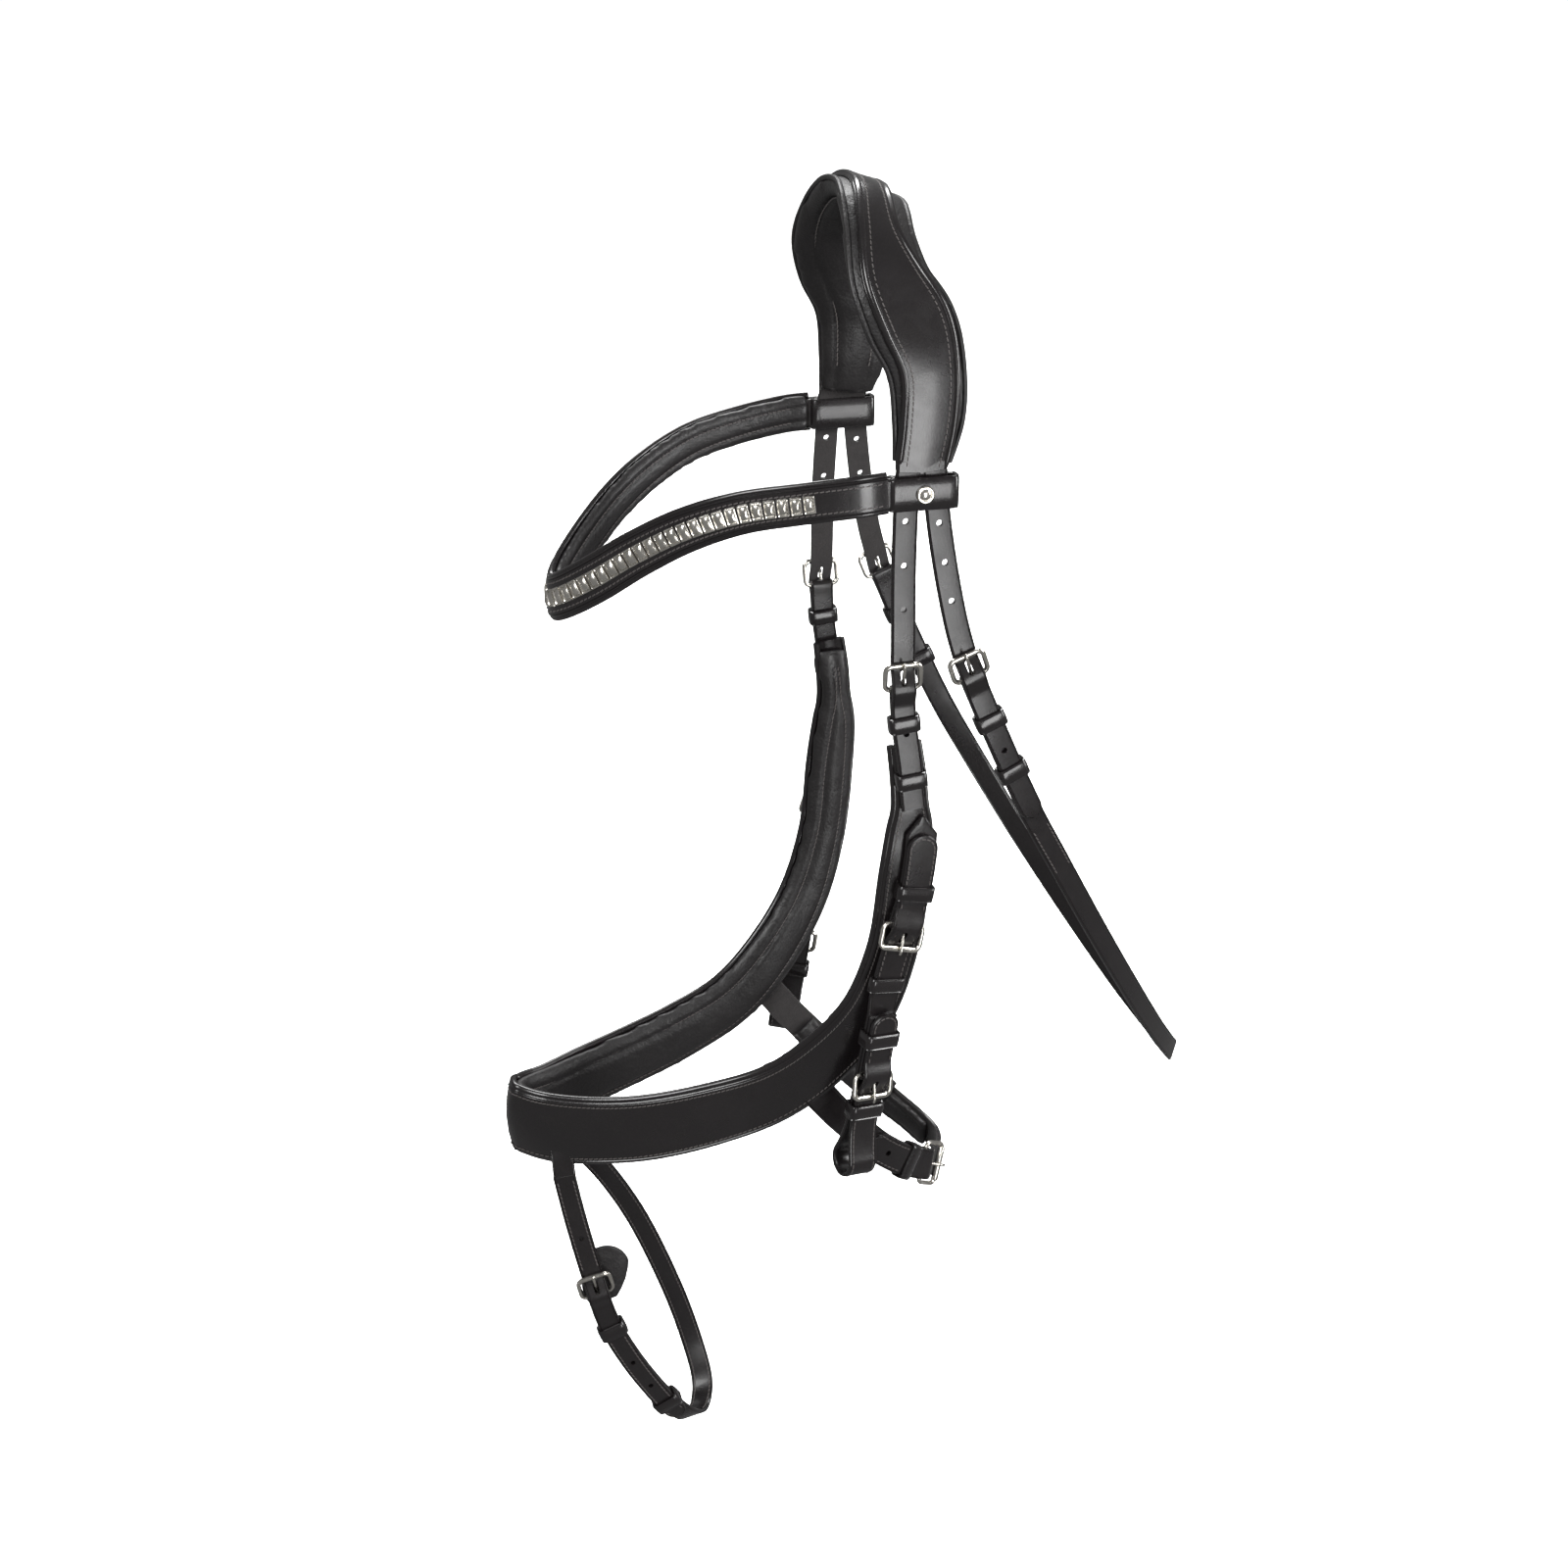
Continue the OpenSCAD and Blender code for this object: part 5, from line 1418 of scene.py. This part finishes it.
def make_chin_strap():
    half = CHIN_W / 2
    made(chape(CHIN, CHIN_HEEL, 0.0, half), "chin_fold", STRAP_PAIR, "noseband",
         "chin_chape")
    start = float(np.interp(CHIN.last - 1.5, CHIN.index, CHIN.reach))
    o = leather(billet(CHIN, CHIN.length, 44, CHIN_HEEL, 1, half), "chin_strap_leather")
    cut(o, hole_places(CHIN, [60, 78]), radius=1.7)
    cut(o, slot_place(CHIN, CHIN_HEEL, 1), SLOT_HALF, 1.5)
    attach(o, "noseband", "chin_strap", slot="leather_strap")
    rows = Shape()
    edge_rows(rows, half, 2.2, (CHIN, 47, 74, BILLET_TOP + 0.06),
              (CHIN, 130, start, STRAP_T / 2 + 0.06))
    made(rows, "chin_stitches", ["waxed thread"], "noseband")
    # Hidden ends, sewn in behind the noseband leather
    tail = Route([(-34, -59.6, -470, 0, -1, 0), (-43, -60, -458, 0, -1, 0),
                  (-51, -59, -446, 0, -1, 0)])
    for side in (LEFT, RIGHT):
        u = np.linspace(0, tail.last, 20)
        made(strap(tail, u, np.full(20, half), -0.6), f"chin_strap_root_{side}",
             STRAP_PAIR, "noseband", side=side)
    m = CHIN.last / 2
    u = np.linspace(m + 0.4, CHIN.last - 1.6, 70)
    rings = cushion_rings(CHIN, u, -half - 0.5, half + 0.5, -7.5, -STRAP_T / 2 - 0.3, 24)
    pad("chin_pad_lining", CHIN, rings, "noseband", "chin_pad",
        lambda x, a, h: ease((h + 2.6) / 1.0),
        [(lambda x, k=k: np.full(len(x), k * 5.0), 0.9, 1.3, -1, -4.0) for k in (-1, 1)],
        fill=0.6, cap=1.6, voxel=2.2)
    fasten("chin", place_at(CHIN, CHIN_HEEL, 1), CHIN_W, "noseband", "chin_tongue",
           "chin_buckle", "chin_tongue", roller=ROLLER_T)
    # Roller on the free bar: a turned sleeve with rounded ends
    p, b, t, n = place_at(CHIN, CHIN_HEEL, 1)
    c = p + BAR_GAP * t + (BAR_LIFT + ROLLER_T) * n
    h, r0, r1 = (CHIN_W + 1.6) / 2, WIRE_R + 0.16, WIRE_R + ROLLER_T
    section = np.array([(-h, r0), (-h, r1 - 0.25), (-h + 0.1, r1 - 0.08), (-h + 0.3, r1),
                        (0, r1 - 0.04), (h - 0.3, r1), (h - 0.1, r1 - 0.08), (h, r1 - 0.25),
                        (h, r0), (0, r0)])
    a = np.linspace(0, 2 * np.pi, 33)[:-1][:, None]
    out = np.cos(a) * t + np.sin(a) * n
    rings = c + section[None, :, :1] * b + section[None, :, 1:] * out[:, None]
    made(Shape().grid(rings, loop=True), "chin_roller_sleeve", ["nickel plate"], "chin_roller",
         "chin_roller", slot="nickel")
    loops("chin_loops", "noseband", "chin_keepers", LEFT,
          (place_at(CHIN, 80), CHIN_W, -FOLD_R, BILLET_TOP),
          (place_at(CHIN, 190), CHIN_W + 2, -8, STRAP_T / 2, 7.0))


def make_flash_strap():
    half = STRAP_W / 2
    made(chape(FLASH, FLASH_HEEL, FLASH.length, half), "flash_strap_leather", STRAP_PAIR,
         "flash", "flash_strap")
    s_tip = FLASH_OVER.length
    o = leather(billet(FLASH_OVER, 0.0, s_tip, FLASH_HEEL, -1, half), "flash_billet_leather")
    cut(o, hole_places(FLASH_OVER, [130, 152]), radius=1.5)
    cut(o, [(p + 1.2 * n, b, t, n) for p, b, t, n in hole_places(FLASH_OVER, [40])],
        depth=2.6)
    cut(o, slot_place(FLASH_OVER, FLASH_HEEL, -1), SLOT_HALF, SLOT_R)
    attach(o, "flash", "flash_billet", slot="leather_strap")
    rows = Shape()
    edge_rows(rows, half, 2.0, (FLASH_OVER, 110, 167, BILLET_TOP + 0.06),
              (FLASH_OVER, 177, s_tip - 5, BILLET_TOP + 0.06),
              (FLASH_OVER, 3, 60, STRAP_T / 2 + 0.06),
              (FLASH, 215, FLASH.length - 2, CHAPE_LEVEL - STRAP_T / 2 - 0.06))
    made(rows, "flash_stitches", ["waxed thread"], "flash")
    fasten("flash", place_at(FLASH, FLASH_HEEL, -1), STRAP_W, "flash", "flash_tongue",
           "flash_buckle", "flash_tongue")
    loops("flash_loops", "flash", "flash_keepers", LEFT,
          *[(place_at(FLASH_OVER, k), STRAP_W, low, BILLET_TOP)
            for k, low in ((104, -FOLD_R), (172, -FOLD_R - 1.4))])
    # Guard behind the buckle: a round-topped flap, slightly dished
    p, b, t, n = place_at(FLASH, FLASH_HEEL)
    y = np.concatenate([-12 - 14 * np.cos(np.linspace(0, np.pi / 2, 14)), [-7, -1, 4, 8]])
    wide = np.concatenate([14 * np.sin(np.linspace(0.06, np.pi / 2, 14)),
                           [13.8, 12.6, 10.5, 8]])
    across = np.interp(y, [-12, 8], [-8, -2])
    points = p + y[:, None] * t + across[:, None] * b - 4.1 * n
    shape = Shape()
    ribbon(shape, points, np.repeat(b[None], len(y), 0), np.repeat(n[None], len(y), 0), wide,
           1.8, 0.2)
    # Top of each leg, from the tunnel down to the hinge line
    for name, level, y, line in (
            ("near", -0.2, -26, [(-176, -18.5, -497, -0.5, -1, 0),
                                 (-175.2, -22.8, -508, -0.3, -1, 0),
                                 (-174.6, -26, -519, -0.2, -1, 0)]),
            ("far", CHAPE_LEVEL, 26, [(-174, 18.5, -497, -0.5, 1, 0),
                                      (-171.5, 23, -508, -0.3, 1, 0),
                                      (-169.6, 26, -518.5, -0.2, 1, 0)])):
        root = Route(line)
        o = leather(strap(root, np.linspace(0, root.last, 24), np.full(24, half - 0.1), level),
                    f"flash_root_{name}")
        attach(o, ("noseband", "flash", (-177, y, -508), (-174, y, -519)),
               slot="leather_strap")
    made(shape, "flash_guard_flap", ["soft lining", "flesh side"], "flash", "flash_guard",
         slot="leather_pad")


def make_stage():
    """Floor, light and camera."""
    scene = bpy.context.scene
    size, z = 5.0, -0.746
    mesh = bpy.data.meshes.new("floor")
    mesh.from_pydata([(-size, -size, z), (size, -size, z), (size, size, z), (-size, size, z)],
                     [], [(0, 1, 2, 3)])
    floor = bpy.data.objects.new("floor", mesh)
    scene.collection.objects.link(floor)
    f = Finish("pale floor", IOR=1.3, Specular_IOR_Level=0.1)
    f.shader.inputs["Base Color"].default_value = (0.93, 0.93, 0.93, 1)
    f.shader.inputs["Roughness"].default_value = 0.95
    mesh.materials.append(f.material)
    # The floor gives no light back to the leather and isn't reflected in it
    floor.visible_diffuse = floor.visible_glossy = False
    world = bpy.data.worlds.new("studio")
    world.use_nodes = True
    # The room lights softly; seen directly it is a plain white backdrop
    tree = world.node_tree
    seen = tree.nodes.new("ShaderNodeLightPath")
    level = tree.nodes.new("ShaderNodeMapRange")
    level.inputs["To Min"].default_value, level.inputs["To Max"].default_value = 0.22, 1.05
    tree.links.new(seen.outputs["Is Camera Ray"], level.inputs["Value"])
    tree.links.new(level.outputs[0], tree.nodes["Background"].inputs["Strength"])
    tree.nodes["Background"].inputs["Color"].default_value = (1, 1, 1, 1)
    scene.world = world
    floor_only = bpy.data.collections.new("floor light")
    floor_only.objects.link(floor)
    scene.view_settings.view_transform = "Standard"

    def lamp(name, where, aim, wide, high, power, only=None):
        data = bpy.data.lights.new(name, "AREA")
        data.shape, data.size, data.size_y, data.energy = "RECTANGLE", wide, high, power
        o = bpy.data.objects.new(name, data)
        o.location = where
        o.rotation_mode = "QUATERNION"
        o.rotation_quaternion = (Vector(aim) - Vector(where)).to_track_quat("-Z", "Y")
        if only:
            o.light_linking.receiver_collection = only
        scene.collection.objects.link(o)

    lamp("key", (-1.3, -1.5, 1.3), (-0.02, -0.05, -0.35), 1.0, 1.3, 42)
    lamp("side", (1.5, -1.1, 0.4), (0.0, 0.0, -0.35), 0.35, 1.6, 30)
    lamp("back", (0.1, 1.4, 1.4), (0.0, 0.0, -0.3), 1.4, 0.7, 40)
    lamp("low", (0.3, -1.5, -0.45), (0.0, 0.0, -0.3), 0.35, 0.9, 7)
    lamp("floor wash", (0.0, 0.0, 5.0), (0.0, 0.0, -0.7), 9.0, 9.0, 1500, floor_only)
    data = bpy.data.cameras.new("camera")
    data.lens, data.sensor_width = 54.3, 36.0
    data.clip_start, data.clip_end = 0.05, 50
    camera = bpy.data.objects.new("camera", data)
    back = Vector((-0.2133, -0.8883, 0.4067)).normalized()
    camera.location = Vector((-0.315, -1.129, 0.212))
    camera.rotation_mode = "QUATERNION"
    camera.rotation_quaternion = back.to_track_quat("Z", "Y")
    scene.collection.objects.link(camera)
    scene.camera = camera


# ---------------------------------------------------------------- operators
def operator(key, label, words, make):
    """An operator class that runs one maker."""
    def execute(self, context):
        make()
        return {"FINISHED"}
    return type(f"BRIDLE_OT_{key}", (bpy.types.Operator,), {
        "bl_idname": f"bridle.{key}", "bl_label": label, "__doc__": words,
        "bl_options": {"REGISTER", "UNDO"}, "execute": execute})


OPERATORS = [
    operator("stage", "Stage", "Floor, soft light and camera", make_stage),
    operator("headpiece", "Headpiece", "Crown strap, piping, stitching and pad", make_headpiece),
    operator("browband", "Browband", "Browband, lining, loops and clinchers", make_browband),
    operator("noseband", "Noseband", "Noseband leather, lining and tunnel", make_noseband),
    operator("cheek_straps", "Cheek straps", "Cheek straps and their buckles",
             make_cheek_straps),
    operator("throatlatch", "Throatlatch", "Throat billets, buckles and strap",
             make_throatlatch),
    operator("bit_straps", "Bit straps", "Bit straps with buckles and ring loops",
             make_bit_straps),
    operator("chin_strap", "Chin strap", "Chin strap, jaw pad and roller buckle",
             make_chin_strap),
    operator("flash_strap", "Flash strap", "Flash strap, buckle and guard", make_flash_strap),
]


class BRIDLE_PT_parts(bpy.types.Panel):
    """Lists the bridle's parts in the 3D view's sidebar."""
    bl_label = "Bridle"
    bl_idname = "BRIDLE_PT_parts"
    bl_space_type = "VIEW_3D"
    bl_region_type = "UI"
    bl_category = "Bridle"

    def draw(self, context):
        scene = context.scene
        for group in (scene.bridle_sizes, scene.bridle_colours):
            for name in group.__annotations__:
                self.layout.prop(group, name)
        for cls in OPERATORS:
            self.layout.operator(cls.bl_idname)


CLASSES = [BridleSizes, BridleColours, *OPERATORS, BRIDLE_PT_parts]


def register():
    for cls in CLASSES:
        bpy.utils.register_class(cls)
    bpy.types.Scene.bridle_sizes = bpy.props.PointerProperty(type=BridleSizes)
    bpy.types.Scene.bridle_colours = bpy.props.PointerProperty(type=BridleColours)


def unregister():
    del bpy.types.Scene.bridle_sizes, bpy.types.Scene.bridle_colours
    for cls in reversed(CLASSES):
        bpy.utils.unregister_class(cls)


def main():
    register()
    for cls in OPERATORS:
        group, name = cls.bl_idname.split(".")
        getattr(getattr(bpy.ops, group), name)()


if __name__ == "__main__":
    main()
